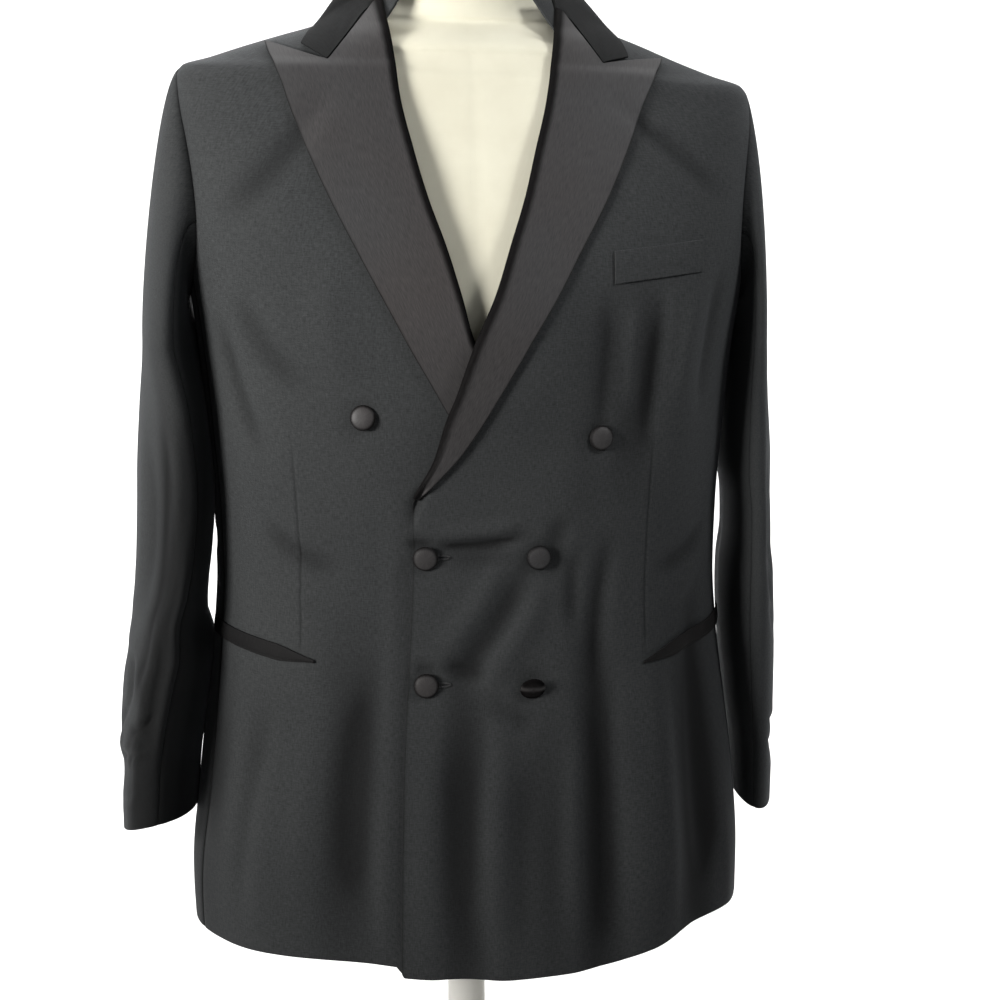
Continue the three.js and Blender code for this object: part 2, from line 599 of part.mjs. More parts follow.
function collar() {
  const rows = 30;
  const columns = 4 + fallShares.length;
  return clothWall(rows, columns, satinThick, (rowShare, columnShare) => {
    const away = Math.abs(rowShare * 2 - 1);
    const side = rowShare < 0.5 ? 1 : -1;
    const turn = lerp(180, collarRows(side)[0].turn, away ** gorgeEase);
    return collarPoint(side * turn, Math.round(columnShare * columns));
  }, false);
}

// Sleeve: from the armhole out over the head and down to its first section, then through the sections.
const footSwell = 0.85;         // how far the sleeve leaves the armhole before it turns down
const headSwell = { left: 0.04, right: 0.16 };
const headFall = 0.9;
const leaveLevel = 0.2;         // share of the slope at which it leaves

function armholePoint(side, angle) {
  const c = Math.sin(rad(angle));
  const up = armhole.up + armhole.tall * c;
  const offset = armhole.wide * Math.cos(rad(angle)) * (1 - armhole.egg * c);
  const turn = 90 - offset;
  const start = bodyPoint(side * turn, up, bodyThick / 2 + armholeGap);
  const leave = bodyNormal(side * turn, up);
  leave.z *= leaveLevel;
  const swell = lerp(footSwell, side > 0 ? headSwell.left : headSwell.right, (c + 1) / 2);
  return { start, leave: leave.normalize(), swell };
}

function sleeveRing(rows, side, angle, height) {
  const value = (name) => column(rows, 'height', name, height);
  const a = rad(angle);
  const swing = rad(value('turn'));
  let depth = 0;
  for (const fold of sleeveFolds) {
    const across = hump((angle - fold.angle) / fold.wide);
    if (fold.side === side) depth += fold.depth * across * hump((height - fold.height) / fold.tall);
  }
  const thick = (value('thick') + depth) * Math.sin(a);
  const deep = -(value('deep') + depth) * Math.cos(a);
  const out = value('out') + thick * Math.cos(swing) - deep * Math.sin(swing);
  const behind = value('back') + deep * Math.cos(swing) + thick * Math.sin(swing);
  return new THREE.Vector3(side * out, behind, height);
}

const headShare = 0.36;
const cuffFrom = 0.8;

function sleevePoint(table, side, angle, share) {
  const rows = [...table].sort((a, b) => a.height - b.height);
  const top = rows[rows.length - 1].height;
  const bottom = rows[0].height;
  if (share <= headShare) {
    const t = share / headShare;
    const { start, leave, swell } = armholePoint(side, angle);
    const end = sleeveRing(rows, side, angle, top);
    const length = start.distanceTo(end);
    const outward = leave.multiplyScalar(length * swell);
    const down = new THREE.Vector3(0, 0, -length * headFall);
    const point = start.multiplyScalar(2 * t ** 3 - 3 * t ** 2 + 1);
    point.addScaledVector(outward, t ** 3 - 2 * t ** 2 + t);
    point.addScaledVector(end, -2 * t ** 3 + 3 * t ** 2);
    return point.addScaledVector(down, t ** 3 - t ** 2);
  }
  const height = lerp(top, bottom, (share - headShare) / (1 - headShare));
  const point = sleeveRing(rows, side, angle, height);
  const nearCuff = smoothstep(share, cuffFrom, 1);
  point.z += nearCuff * cuffRise * (0.5 - 0.5 * Math.cos(rad(angle)));
  return point;
}

function sleevePanel(table, side, from, to, columns) {
  return clothWall(19, columns, sleeveThick, (rowShare, columnShare) => {
    const at = (angle) => sleevePoint(table, side, angle, rowShare);
    const speed = (angle) => at(angle + 0.5).distanceTo(at(angle - 0.5));
    const low = from + sleeveSeamGap / 2 / speed(from);
    const high = to - sleeveSeamGap / 2 / speed(to);
    return at(lerp(low, high, columnShare));
  });
}

// Strip or patch laid on the outside of the panels, which are flatter between their points than it is.
const patchGap = 0.75;

function appliedPatch(rows, columns, place) {
  const out = bodyThick / 2 + patchGap + trimThick / 2;
  return clothWall(rows, columns, trimThick, (rowShare, columnShare) => {
    const { turn, up } = place(columnShare, rowShare);
    return bodyPoint(turn, up, out);
  });
}

const jet = { tall: 12, frontTurn: 46, sideTurn: 82, frontLeft: 248, frontRight: 255, side: 266 };

function pocketJet(side) {
  const front = side > 0 ? jet.frontLeft : jet.frontRight;
  return appliedPatch(2, 12, (along, rise) => ({
    turn: side * lerp(jet.frontTurn, jet.sideTurn, along),
    up: lerp(front, jet.side, Math.sin(along * Math.PI / 2)) + jet.tall * (rise - 0.5),
  }));
}

const welt = { inner: 103, outer: 175, low: 553, rise: 9, tall: 25 };

function breastWelt() {
  return appliedPatch(3, 7, (along, rise) => {
    const up = welt.low + welt.rise * along + welt.tall * rise;
    return { turn: turnAt(lerp(welt.inner, welt.outer, along), up), up };
  });
}

// Covered button with a rounded face on a short shank, its axis along the cloth's normal.
const shank = { radius: 4, height: 1.2 };
const buttonRim = 2.4;

function coveredButton(across, up, overLap) {
  const profile = [[0, 0], [shank.radius, 0], [shank.radius, shank.height]];
  profile.push([buttonRadius - 1, shank.height], [buttonRadius, buttonRim]);
  for (const share of [0.9, 0.6, 0.3, 0]) {
    profile.push([buttonRadius * share, buttonRim + (buttonHeight - buttonRim) * Math.sqrt(1 - share ** 2)]);
  }
  const geometry = new THREE.LatheGeometry(profile.map(([r, h]) => new THREE.Vector2(r, h)), 18);
  const normal = bodyNormal(turnAt(across, up), up);
  const seat = bodyThick / 2 + clearance + (overLap ? lapLift(across, up) : 0);
  const mesh = new THREE.Mesh(geometry);
  mesh.quaternion.setFromUnitVectors(new THREE.Vector3(0, 1, 0), normal);
  mesh.position.copy(frontPoint(across, up, seat));
  return mesh;
}

const buttons = [
  { name: 'button_upper_right', across: -91, up: 450, overLap: false },
  { name: 'button_upper_left', across: 93, up: 433, overLap: true },
  { name: 'button_middle_right', across: -44, up: 341, overLap: true },
  { name: 'button_middle_left', across: 44, up: 340, overLap: true },
  { name: 'button_lower_right', across: -44, up: 239, overLap: true },
  { name: 'button_lower_left', across: 40, up: 237, overLap: true },
];

// Dress form inside the jacket: the body's sections drawn in, then a neck that rises through the collar.
const neckRows = [
  { height: 898, half: 94, front: 55, back: 76 },
  { height: 912, half: 68, front: 52, back: 66 },
  { height: 930, half: 62, front: 52, back: 62 },
  { height: 960, half: 59, front: 53, back: 58 },
  { height: neckTop, half: 58, front: 54, back: 56 },
];

const chestUp = 640;
const shoulderUp = 716;
const hipEase = { low: 200, high: 400 };

function formTorso() {
  const sides = 28;
  const rings = [];
  const levels = [60, 130, 200, 270, 330, 390, 450, 510, 560, 600, 640, 675, 693, 702, 709, 716, 725, 734];
  for (const up of [formBottom - hemHeight, ...levels]) {
    const chest = lerp(formInset, shoulderInset, smoothstep(up, chestUp, shoulderUp));
    const inset = chest + hipInset * (1 - smoothstep(up, hipEase.low, hipEase.high));
    rings.push(ring(sides, (turn) => smoothBody(turn, up).addScaledVector(bodyNormal(turn, up), -inset)));
  }
  for (const height of [898, 905, 912, 920, 930, 945, 960, 980, neckTop]) {
    const value = (name) => column(neckRows, 'height', name, height);
    rings.push(ring(sides, (turn) => {
      const depth = Math.cos(rad(turn)) > 0 ? value('front') : value('back');
      const x = value('half') * Math.sin(rad(turn));
      return new THREE.Vector3(x, -depth * Math.cos(rad(turn)), height - shoulderDrop * x);
    }));
  }
  return ringSolid(rings);
}

function ring(sides, pointAt) {
  const turns = Array.from(new Array(sides).keys(), (k) => (k / sides) * 360);
  return turns.map(pointAt);
}

const capSeam = 2.2;

function neckCap() {
  const top = neckRows[neckRows.length - 1];
  const foot = neckTop + capSeam;
  const shares = [1, 1, 0.94, 0.75, 0.4];
  const lifts = [0, 0.35, 0.62, 0.86, 1];
  return ringSolid(shares.map((share, k) => ring(32, (turn) => {
    const depth = Math.cos(rad(turn)) > 0 ? top.front : top.back;
    const x = top.half * share * Math.sin(rad(turn));
    return new THREE.Vector3(x, -depth * share * Math.cos(rad(turn)), foot + capHeight * lifts[k]);
  })));
}

function standPole() {
  const low = baseThick + 0.3;
  const high = formBottom - 0.5;
  const geometry = new THREE.CylinderGeometry(poleRadius, poleRadius, high - low, 28);
  geometry.rotateX(Math.PI / 2);
  geometry.translate(0, 0, (low + high) / 2);
  return geometry;
}

function standBase() {
  const edge = 3;
  const profile = [
    [0, 0], [baseRadius - 1, 0], [baseRadius, 1], [baseRadius, baseThick - edge - 2],
    [baseRadius - 1.5, baseThick - edge], [baseRadius - 8, baseThick - edge + 1.5],
    [baseRadius * 0.4, baseThick], [0, baseThick],
  ];
  const geometry = new THREE.LatheGeometry(profile.map(([r, h]) => new THREE.Vector2(r, h)), 40);
  geometry.rotateX(Math.PI / 2);
  return geometry;
}

const finishes = {
  wool: { color: 0x2f3032, roughness: 0.92, metalness: 0 },
  satin: { color: 0x3c3b3d, roughness: 0.45, metalness: 0 },
  jersey: { color: 0xf2ecd2, roughness: 0.9, metalness: 0 },
  paintedMetal: { color: 0xe9e7e2, roughness: 0.4, metalness: 0.1 },
};

const jacket = new THREE.Group();
const stand = new THREE.Group();
const part = new THREE.Group();
part.add(jacket, stand);

function addPiece(group, name, shape, finish) {
  const mesh = shape.isMesh ? shape : new THREE.Mesh(shape);
  mesh.name = name;
  mesh.material = new THREE.MeshStandardMaterial(finishes[finish]);
  group.add(mesh);
}

for (const [word, front, table] of [['left', leftLapel, sleeveLeft], ['right', rightLapel, sleeveRight]]) {
  const side = front.side;
  const topSleeve = sleevePanel(table, side, sleeveSeamFront, sleeveSeamBack, 10);
  const underSleeve = sleevePanel(table, side, sleeveSeamBack, sleeveSeamFront + 360, 6);
  addPiece(jacket, `front_${word}`, frontPanel(side), 'wool');
  addPiece(jacket, `side_${word}`, sidePanel(side), 'wool');
  addPiece(jacket, `back_${word}`, backPanel(side), 'wool');
  addPiece(jacket, `top_sleeve_${word}`, topSleeve, 'wool');
  addPiece(jacket, `under_sleeve_${word}`, underSleeve, 'wool');
  addPiece(jacket, `lapel_${word}`, lapel(front), 'satin');
  addPiece(jacket, `pocket_jet_${word}`, pocketJet(side), 'satin');
}
addPiece(jacket, 'collar', collar(), 'wool');
addPiece(jacket, 'breast_welt', breastWelt(), 'wool');
for (const { name, across, up, overLap } of buttons) {
  addPiece(jacket, name, coveredButton(across, up, overLap), 'satin');
}
addPiece(stand, 'form_torso', formTorso(), 'jersey');
addPiece(stand, 'form_neck_cap', neckCap(), 'jersey');
addPiece(stand, 'stand_pole', standPole(), 'paintedMetal');
addPiece(stand, 'stand_base', standBase(), 'paintedMetal');

export default part;
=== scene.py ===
# Double-breasted evening jacket with satin peak lapels on a limbless dress form.
# Shapes are worked out in millimetres, as a pattern is drafted, and become metres in newPiece.
# The front faces -Y and the wearer's left is +X.
import math

import bpy
import numpy as np
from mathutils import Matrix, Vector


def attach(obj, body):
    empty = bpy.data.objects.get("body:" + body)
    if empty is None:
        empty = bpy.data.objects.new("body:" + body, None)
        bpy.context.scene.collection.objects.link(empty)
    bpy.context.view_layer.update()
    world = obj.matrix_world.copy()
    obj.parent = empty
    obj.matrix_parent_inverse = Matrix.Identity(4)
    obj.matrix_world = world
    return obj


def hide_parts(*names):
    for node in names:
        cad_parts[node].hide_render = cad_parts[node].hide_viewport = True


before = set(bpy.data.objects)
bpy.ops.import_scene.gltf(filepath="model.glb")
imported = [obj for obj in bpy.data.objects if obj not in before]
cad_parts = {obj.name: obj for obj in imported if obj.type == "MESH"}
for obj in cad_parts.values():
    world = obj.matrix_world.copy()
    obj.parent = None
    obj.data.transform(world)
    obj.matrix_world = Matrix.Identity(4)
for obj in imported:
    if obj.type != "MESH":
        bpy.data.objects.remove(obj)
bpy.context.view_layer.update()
print("frame loaded:", len(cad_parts), "nodes")

# Body sections from hem to neck: up is measured from the hem, half is the half width, front and back
# are the depths from the body's axis, square is the exponent of the section's superellipse.
bodyRows = {
    "up": [0, 60, 130, 200, 260, 310, 360, 430, 500, 560,
           620, 670, 700, 710, 717, 726, 735, 745, 757, 770],
    "half": [229, 229, 225, 217, 210, 207, 208, 213, 219, 227,
             233, 235, 232, 226, 204, 178, 150, 118, 93, 76],
    "front": [160, 158, 154, 150, 147, 146, 148, 153, 155, 147,
              130, 110, 96, 92, 88, 85, 82, 78, 73, 66],
    "back": [150, 152, 149, 140, 129, 121, 119, 126, 135, 139,
             136, 126, 115, 111, 108, 104, 100, 95, 88, 78],
    "square": [2.4, 2.4, 2.4, 2.4, 2.4, 2.4, 2.4, 2.4, 2.5, 2.7,
               2.8, 2.7, 2.5, 2.4, 2.3, 2.2, 2.1, 2.0, 2.0, 2.0],
}
hemRows = {
    "turn": [-180, -120, -67, -52, -36, -23.5, -22, -6, 9, 20, 27, 34, 45, 59, 80, 120, 180],
    "rise": [10, 12, 10.5, 12.3, 12, 9, 1, -1, -3, -2, -0.5, 1.5, 9.5, 21, 24, 20, 10],
}
body = {
    "hemHeight": 150, "neckUp": 770, "hemEase": 150, "shoulderDrop": 0.029,
    "slump": 4, "slumpFrom": 115, "slumpTo": 185, "slumpLow": 570, "slumpHigh": 690,
    "wool": 1.8, "seamGap": 0.06, "frontSeam": 76.5, "backSeam": 103.5, "seamTop": 548,
    "armholeUp": 619, "armholeTall": 89, "armholeWide": 17.5, "armholeEgg": 0.35,
    "mmPerDegree": 3.2, "seamDip": 0.6, "seamSoft": 2.2, "seamDark": 0.7, "seamDeep": 0.7,
    "creaseScale": 1.9,
}
bodyLevels = [0, 50, 100, 150, 205, 260, 310, 350, 384, 405, 430, 470, 510,
              548, 580, 615, 655, 685, 702, 709, 714, 720, 728, 738, 750, 770]


def smoothStep(x, low, high):
    t = np.clip((np.asarray(x, float) - low) / (high - low), 0, 1)
    return t * t * (3 - 2 * t)


def lerp(a, b, t):
    return a + (b - a) * t


# A named column of a table, between rows by a cubic that never overshoots them.
def column(table, key, name, at):
    x, y = np.asarray(table[key], float), np.asarray(table[name], float)
    run = np.diff(x)
    slope = np.diff(y) / run
    before, after = slope[:-1], slope[1:]
    w1, w2 = 2 * run[1:] + run[:-1], run[1:] + 2 * run[:-1]
    tangent = np.concatenate([slope[:1], np.zeros(len(x) - 2), slope[-1:]])
    same = before * after > 0
    tangent[1:-1][same] = (w1 + w2)[same] / (w1[same] / before[same] + w2[same] / after[same])
    at = np.clip(at, x[0], x[-1])
    i = np.clip(np.searchsorted(x, at, side="right") - 1, 0, len(x) - 2)
    t = (at - x[i]) / run[i]
    rise = y[i + 1] - y[i]
    a, b = tangent[i] * run[i] - rise, rise - tangent[i + 1] * run[i]
    return lerp(y[i], y[i + 1], t) + t * (1 - t) * (a * (1 - t) + b * t)


def columns(table, key, names, at):
    return [column(table, key, name, at) for name in names]


def sideWord(side):
    return "left" if side > 0 else "right"


# Smooth body: x and y on a superellipse of the height's half width and depth, sunk towards the lower
# shoulder.
def bodySmooth(turn, up):
    turn, up = np.broadcast_arrays(np.asarray(turn, float), np.asarray(up, float))
    half, front, back, square = columns(bodyRows, "up", ("half", "front", "back", "square"), up)
    sine, cosine = np.sin(np.radians(turn)), np.cos(np.radians(turn))
    depth = np.where(cosine > 0, front, back)
    reach = (np.abs(sine / half) ** square + np.abs(cosine / depth) ** square) ** (-1 / square)
    x = reach * sine
    tilt = body["shoulderDrop"] * smoothStep(up, 300, 700) * x
    sunk = body["slump"] * smoothStep(x, body["slumpFrom"], body["slumpTo"])
    sunk = sunk * smoothStep(up, body["slumpLow"], body["slumpHigh"])
    return np.stack([x, -reach * cosine, body["hemHeight"] + up - tilt - sunk], -1)


def unit(v):
    return v / np.maximum(np.linalg.norm(v, axis=-1, keepdims=True), 1e-9)


def bodyNormal(turn, up):
    up = np.clip(up, 0.5, body["neckUp"] - 0.5)
    around = bodySmooth(turn + 0.5, up) - bodySmooth(turn - 0.5, up)
    rise = bodySmooth(turn, up + 0.5) - bodySmooth(turn, up - 0.5)
    return unit(np.cross(around, rise))


# Broad folds of the body cloth, ridges (+) and troughs (-): a bump (1 - d^2)^2 each way.
broadFolds = [
    # turn, up, wide, tall, depth
    (33, 120, 8, 215, -5), (46, 90, 8, 200, 5), (61, 110, 10, 200, -6.5), (75, 95, 9, 190, 3),
    (-15, 90, 6, 160, 2), (-5, 110, 9, 190, -5.5), (6, 105, 6, 170, 3), (20, 100, 9, 160, -2),
    (-37, 130, 11, 200, -4), (-56, 60, 12, 150, 3), (-74, 150, 10, 120, -3), (-82, 50, 14, 90, 4),
    (66, 30, 10, 60, 3), (42, 470, 9, 110, -3), (55, 500, 9, 120, 3), (-2, 345, 16, 22, -2.8),
    (-32, 450, 7, 20, -1.5), (32, 433, 7, 20, -1.5), (-16.5, 342, 7, 20, -1.6),
    (16.5, 341, 7, 20, -1.6), (-16.5, 240, 7, 20, -1.6), (15, 237, 7, 22, -2), (145, 330, 16, 45, -4),
    (-150, 345, 15, 40, -4), (158, 90, 10, 190, -5), (138, 80, 10, 190, 4), (-152, 100, 11, 200, -5),
    (-132, 80, 10, 180, 4),
]
# Creases as lines on the unrolled cloth: from turn, up to turn, up, half width in mm, depth, bow in mm.
bodyCreases = [
    (-13, 351, 13, 357, 4.5, -2.6, 3), (-12.5, 360, 12, 367, 8, 1.3, 3),
    (-21.5, 352, -15, 352, 4, -2.0, 0), (-16, 398, -20.5, 366, 4, -2.0, 3),
    (-25.5, 400, -26.5, 20, 9, 0.8, 0), (14, 330, -9, 240, 16, -1.8, -6),
    (19, 318, -1, 238, 15, 1.2, -6), (6, 335, -14, 262, 13, 1.2, -4), (-12, 256, 2, 247, 8, -1.6, 2),
    (-20, 252, -14, 251, 4, -1.4, 0), (2, 226, 15, 205, 12, -1.3, 3), (27.5, 345, 27, 280, 9, -1.3, 2),
    (24, 372, 22, 320, 12, -1.4, 4), (37, 352, 33, 230, 10, -1.6, 4), (35, 250, 33.5, 20, 13, -1.5, 3),
    (29, 200, 26, 30, 14, 1.0, 4), (48, 250, 51, 30, 14, 1.2, -4), (62, 300, 63, 40, 13, -1.4, 4),
    (14, 180, 10, 20, 18, -1.2, 5), (2, 170, -1, 30, 16, 0.9, 0), (-10, 190, -12, 40, 14, -0.9, 3),
    (-32, 250, -35, 60, 15, -1.6, 6), (-43, 230, -47, 40, 15, 1.1, 5), (-58, 215, -62, 20, 14, -1.3, 4),
    (-28, 150, -27, 20, 12, 0.9, 0), (35, 545, 33, 430, 10, -1.5, 3), (41, 540, 40, 450, 8, 1.3, 2),
    (47, 540, 45, 420, 8, -1.6, 3), (63, 560, 60, 450, 10, -1.6, 4), (56, 550, 53, 450, 9, 1.0, 3),
    (64, 620, 48, 690, 12, -1.2, 5), (58, 585, 40, 640, 12, 0.8, 5), (-62, 600, -50, 690, 14, -1.3, 5),
    (-60, 540, -46, 470, 14, -1.2, 6), (-66, 520, -58, 420, 10, -1.4, 4),
    (-40, 560, -36, 480, 16, 0.9, 5), (-58, 360, -40, 330, 12, -1.3, 5),
    (-62, 330, -44, 300, 12, 0.9, 5), (66, 350, 50, 322, 12, -1.3, -5), (64, 318, 50, 296, 10, 0.8, -5),
    (106, 350, 132, 330, 11, -1.9, 6), (108, 322, 128, 300, 10, 1.2, 5),
    (-106, 356, -134, 338, 11, -1.9, -6), (-108, 326, -130, 306, 10, 1.2, -5),
    (168, 360, 146, 338, 12, -1.6, -5), (-170, 352, -148, 334, 12, -1.5, 5),
    (112, 560, 134, 620, 13, -1.5, 6), (-112, 556, -136, 612, 13, -1.5, -6),
    (118, 500, 128, 420, 14, -1.3, 6), (-118, 500, -126, 420, 14, -1.3, -6),
    (172, 700, 150, 668, 14, -1.2, 4), (-172, 706, -152, 672, 14, -1.2, -4),
    (126, 240, 124, 30, 14, -1.4, 5), (-124, 250, -122, 40, 14, -1.4, -5),
    (148, 200, 149, 30, 14, 1.2, 4), (-146, 210, -143, 30, 14, 1.2, 4),
    (171, 230, 170, 20, 14, -1.2, 3), (-168, 180, -166, 20, 14, 0.9, 3), (84, 330, 97, 322, 9, -1.2, 3),
    (-84, 338, -97, 330, 9, -1.2, -3), (88, 200, 87, 40, 12, -1.1, 2), (-92, 200, -92, 40, 12, -1.0, 2),
]


def hump(d):
    return (1 - np.minimum(np.abs(d), 1) ** 2) ** 2


# Each crease is exp(-d^2) across its line with lifted flanks, and fades at both ends; d is measured from
# a line that bows sideways by bow * 4t(1-t).
def creaseDepth(creases, x, y, mmPerX):
    total = np.zeros(np.broadcast(x, y).shape)
    for x1, y1, x2, y2, wide, depth, bow in creases:
        dx, dy = (x2 - x1) * mmPerX, y2 - y1
        length = math.hypot(dx, dy)
        px, py = (x - x1) * mmPerX, y - y1
        along = (px * dx + py * dy) / length ** 2
        t = np.clip(along, 0, 1)
        d = ((px * dy - py * dx) / length - bow * 4 * t * (1 - t)) / wide
        ends = smoothStep(along, -0.12, 0.3) * (1 - smoothStep(along, 0.7, 1.12))
        total += depth * (1 - 0.7 * d * d) * np.exp(-d * d) * ends
    return total


def foldDepth(turn, up):
    depth = body["creaseScale"] * creaseDepth(bodyCreases, turn, up, body["mmPerDegree"])
    for foldTurn, foldUp, wide, tall, deep in broadFolds:
        depth = depth + deep * hump((turn - foldTurn) / wide) * hump((up - foldUp) / tall)
    return depth


# Painted shade on the body cloth, as shares of its colour: in the folds' floors, full dark at deepFold below
# the smooth body and weaker behind, in the cloth tucked under the sleeves and on the skirt's side turned from
# the light; pairs are where a shade fades in or out.
paintedFoldShade = {"deepFold": 4.5, "front": 0.8, "back": 0.25, "backTurn": (80, 115),
            "tucked": 0.45, "tuckTurn": (64, 80), "tuckUp": (520, 600),
            "skirt": 0.8, "skirtTurn": (42, 66), "skirtUp": (240, 420), "skirtEnd": 90}


def foldShade(turn, up):
    away = np.abs(turn)
    tucked = smoothStep(away, *paintedFoldShade["tuckTurn"]) * (1 - smoothStep(up, *paintedFoldShade["tuckUp"]))
    skirt = paintedFoldShade["skirt"] * smoothStep(turn, *paintedFoldShade["skirtTurn"])
    tucked = tucked + skirt * (1 - smoothStep(up, *paintedFoldShade["skirtUp"])) * (turn < paintedFoldShade["skirtEnd"])
    strength = lerp(paintedFoldShade["front"], paintedFoldShade["back"], smoothStep(away, *paintedFoldShade["backTurn"]))
    floor = np.clip(-foldDepth(turn, up) / paintedFoldShade["deepFold"], 0, 1)
    return strength * floor + paintedFoldShade["tucked"] * np.clip(tucked, 0, 1)


# A point of the body cloth: the smooth body moved out along its normal by out and the folds' depth. The
# hem's rise fades out over hemEase.
def bodyPoint(turn, upAtFront, out):
    turn, upAtFront = np.broadcast_arrays(np.asarray(turn, float), np.asarray(upAtFront, float))
    wrapped = (turn + 540) % 360 - 180
    rise = column(hemRows, "turn", "rise", wrapped)
    up = upAtFront + rise * (1 - smoothStep(upAtFront, 0, body["hemEase"]))
    lift = out + foldDepth(wrapped, up)
    return bodySmooth(turn, up) + bodyNormal(turn, up) * np.asarray(lift)[..., None]


# Angle on the front at which the section reaches a given x.
def turnAt(across, up):
    half, front, square = columns(bodyRows, "up", ("half", "front", "square"), up)
    share = np.clip(np.abs(across / half) ** square, 0, 1)
    return np.degrees(np.arctan2(across, front * (1 - share) ** (1 / square)))


def frontPoint(across, up, out):
    return bodyPoint(turnAt(across, up), up, out)


def armholeWidth(up):
    c = np.clip((up - body["armholeUp"]) / body["armholeTall"], -1, 1)
    return body["armholeWide"] * np.sqrt(1 - c * c) * (1 - body["armholeEgg"] * c)


def sideLimit(up):
    return np.where(up < body["seamTop"], body["frontSeam"], 90 - armholeWidth(up))


def halfGap(turn, up):
    reach = np.linalg.norm(bodySmooth(turn, up)[..., :2], axis=-1)
    return np.degrees(body["seamGap"] / 2 / reach)


# Materials. Every pattern reads the piece's own map, in metres on the flat cloth, or Object coordinates.
def socket(node, name, value):
    node.inputs[name].default_value = value


class NodeKit:
    def __init__(self, name):
        self.material = bpy.data.materials.new(name)
        self.material.use_nodes = True
        self.tree = self.material.node_tree
        self.shader = self.tree.nodes["Principled BSDF"]

    def add(self, kind, **values):
        node = self.tree.nodes.new(kind)
        for key, value in values.items():
            setattr(node, key, value)
        return node

    def link(self, out, into):
        self.tree.links.new(out, into)

    def math(self, operation, a, b=None, clamp=False):
        node = self.add("ShaderNodeMath", operation=operation, use_clamp=clamp)
        for i, value in enumerate((a, b)):
            if value is None:
                continue
            if isinstance(value, (int, float)):
                node.inputs[i].default_value = value
            else:
                self.link(value, node.inputs[i])
        return node.outputs[0]

    def flatMap(self, scale=(1, 1, 1), turn=0.0):
        uv = self.add("ShaderNodeUVMap", uv_map="flat")
        place = self.add("ShaderNodeMapping")
        place.inputs["Scale"].default_value = scale
        place.inputs["Rotation"].default_value = (0, 0, math.radians(turn))
        self.link(uv.outputs[0], place.inputs["Vector"])
        return place.outputs[0]

    def noise(self, vector, scale, detail=2.0, rough=0.5):
        node = self.add("ShaderNodeTexNoise")
        socket(node, "Scale", scale)
        socket(node, "Detail", detail)
        socket(node, "Roughness", rough)
        self.link(vector, node.inputs["Vector"])
        return node.outputs["Fac"]

    def objectMap(self):
        return self.add("ShaderNodeTexCoord").outputs["Object"]

    # Two colours mixed by a value that runs from low to high.
    def ramp(self, value, low, high, colourLow, colourHigh):
        node = self.add("ShaderNodeValToRGB")
        node.color_ramp.elements[0].position = low
        node.color_ramp.elements[1].position = high
        node.color_ramp.elements[0].color = (*colourLow, 1)
        node.color_ramp.elements[1].color = (*colourHigh, 1)
        self.link(value, node.inputs[0])
        return node.outputs[0]

    def shade(self, colour, value, strength):
        mix = self.add("ShaderNodeMix", data_type="RGBA", blend_type="MULTIPLY")
        mix.inputs["Factor"].default_value = strength
        self.link(colour, mix.inputs[6])
        self.link(value, mix.inputs[7])
        return mix.outputs[2]

    # What the piece's painted shade leaves; the painted shade marks seams, turned edges, the floors of folds
    # and cloth out of the light.
    def kept(self, amount=0.85):
        dark = self.add("ShaderNodeAttribute", attribute_name="shade").outputs["Fac"]
        return self.math("SUBTRACT", 1.0, self.math("MULTIPLY", dark, amount))

    # The colour darkened by that painted shade.
    def darken(self, colour):
        return self.shade(colour, self.kept(), 1.0)

    def bump(self, height, distance, strength=1.0, below=None):
        node = self.add("ShaderNodeBump")
        socket(node, "Distance", distance)
        socket(node, "Strength", strength)
        self.link(height, node.inputs["Height"])
        if below is not None:
            self.link(below, node.inputs["Normal"])
        return node.outputs[0]


# Woven cloth: height of warp threads times weft threads, as sines of the flat place over the pitch.
def weaveHeight(kit, pitch, turn):
    split = kit.add("ShaderNodeSeparateXYZ")
    kit.link(kit.flatMap((1, 1, 1), turn), split.inputs[0])
    waves = []
    for axis in (0, 1):
        phase = kit.math("MULTIPLY", split.outputs[axis], 2 * math.pi / pitch[axis])
        waves.append(kit.math("SINE", phase))
    return kit.math("ADD", kit.math("MULTIPLY", waves[0], 0.5), kit.math("MULTIPLY", waves[1], 0.5))


# Cloth: threads between the look's two colours, clouded tones over them, darkened by the piece's painted shade,
# and the weave below the threads.
def clothSurface(kit, look, tone, threads, cloud):
    low, high = (tuple(c * tone for c in look[k]) for k in ("colourLow", "colourHigh"))
    colour = kit.ramp(threads, *look["threadRange"], low, high)
    colour = kit.shade(colour, kit.ramp(cloud, 0.3, 0.7, *look["cloudTones"]), 1.0)
    kit.link(kit.darken(colour), kit.shader.inputs["Base Color"])
    weave = weaveHeight(kit, look["pitch"], look["twill"])
    surface = kit.bump(weave, look["weaveHigh"], look["weaveBump"])
    surface = kit.bump(threads, look["threadHigh"], look["threadBump"], surface)
    kit.link(surface, kit.shader.inputs["Normal"])


woolLook = {"colourLow": (0.0185, 0.0195, 0.0200), "colourHigh": (0.043, 0.0455, 0.0465),
            "threadRange": (0.32, 0.68), "cloudTones": ((0.86, 0.86, 0.87), (1, 1, 1)),
            "pitch": (0.0011, 0.0007), "twill": 63, "weaveHigh": 0.00006, "weaveBump": 0.7,
            "threadHigh": 0.00025, "threadBump": 0.5, "slubs": 900, "picks": 1100, "cloud": 9,
            "rough": 0.86, "gloss": 0.16, "sheen": 0.07, "sheenRough": 0.42, "sheenTint": (0.8, 0.84, 0.9, 1)}


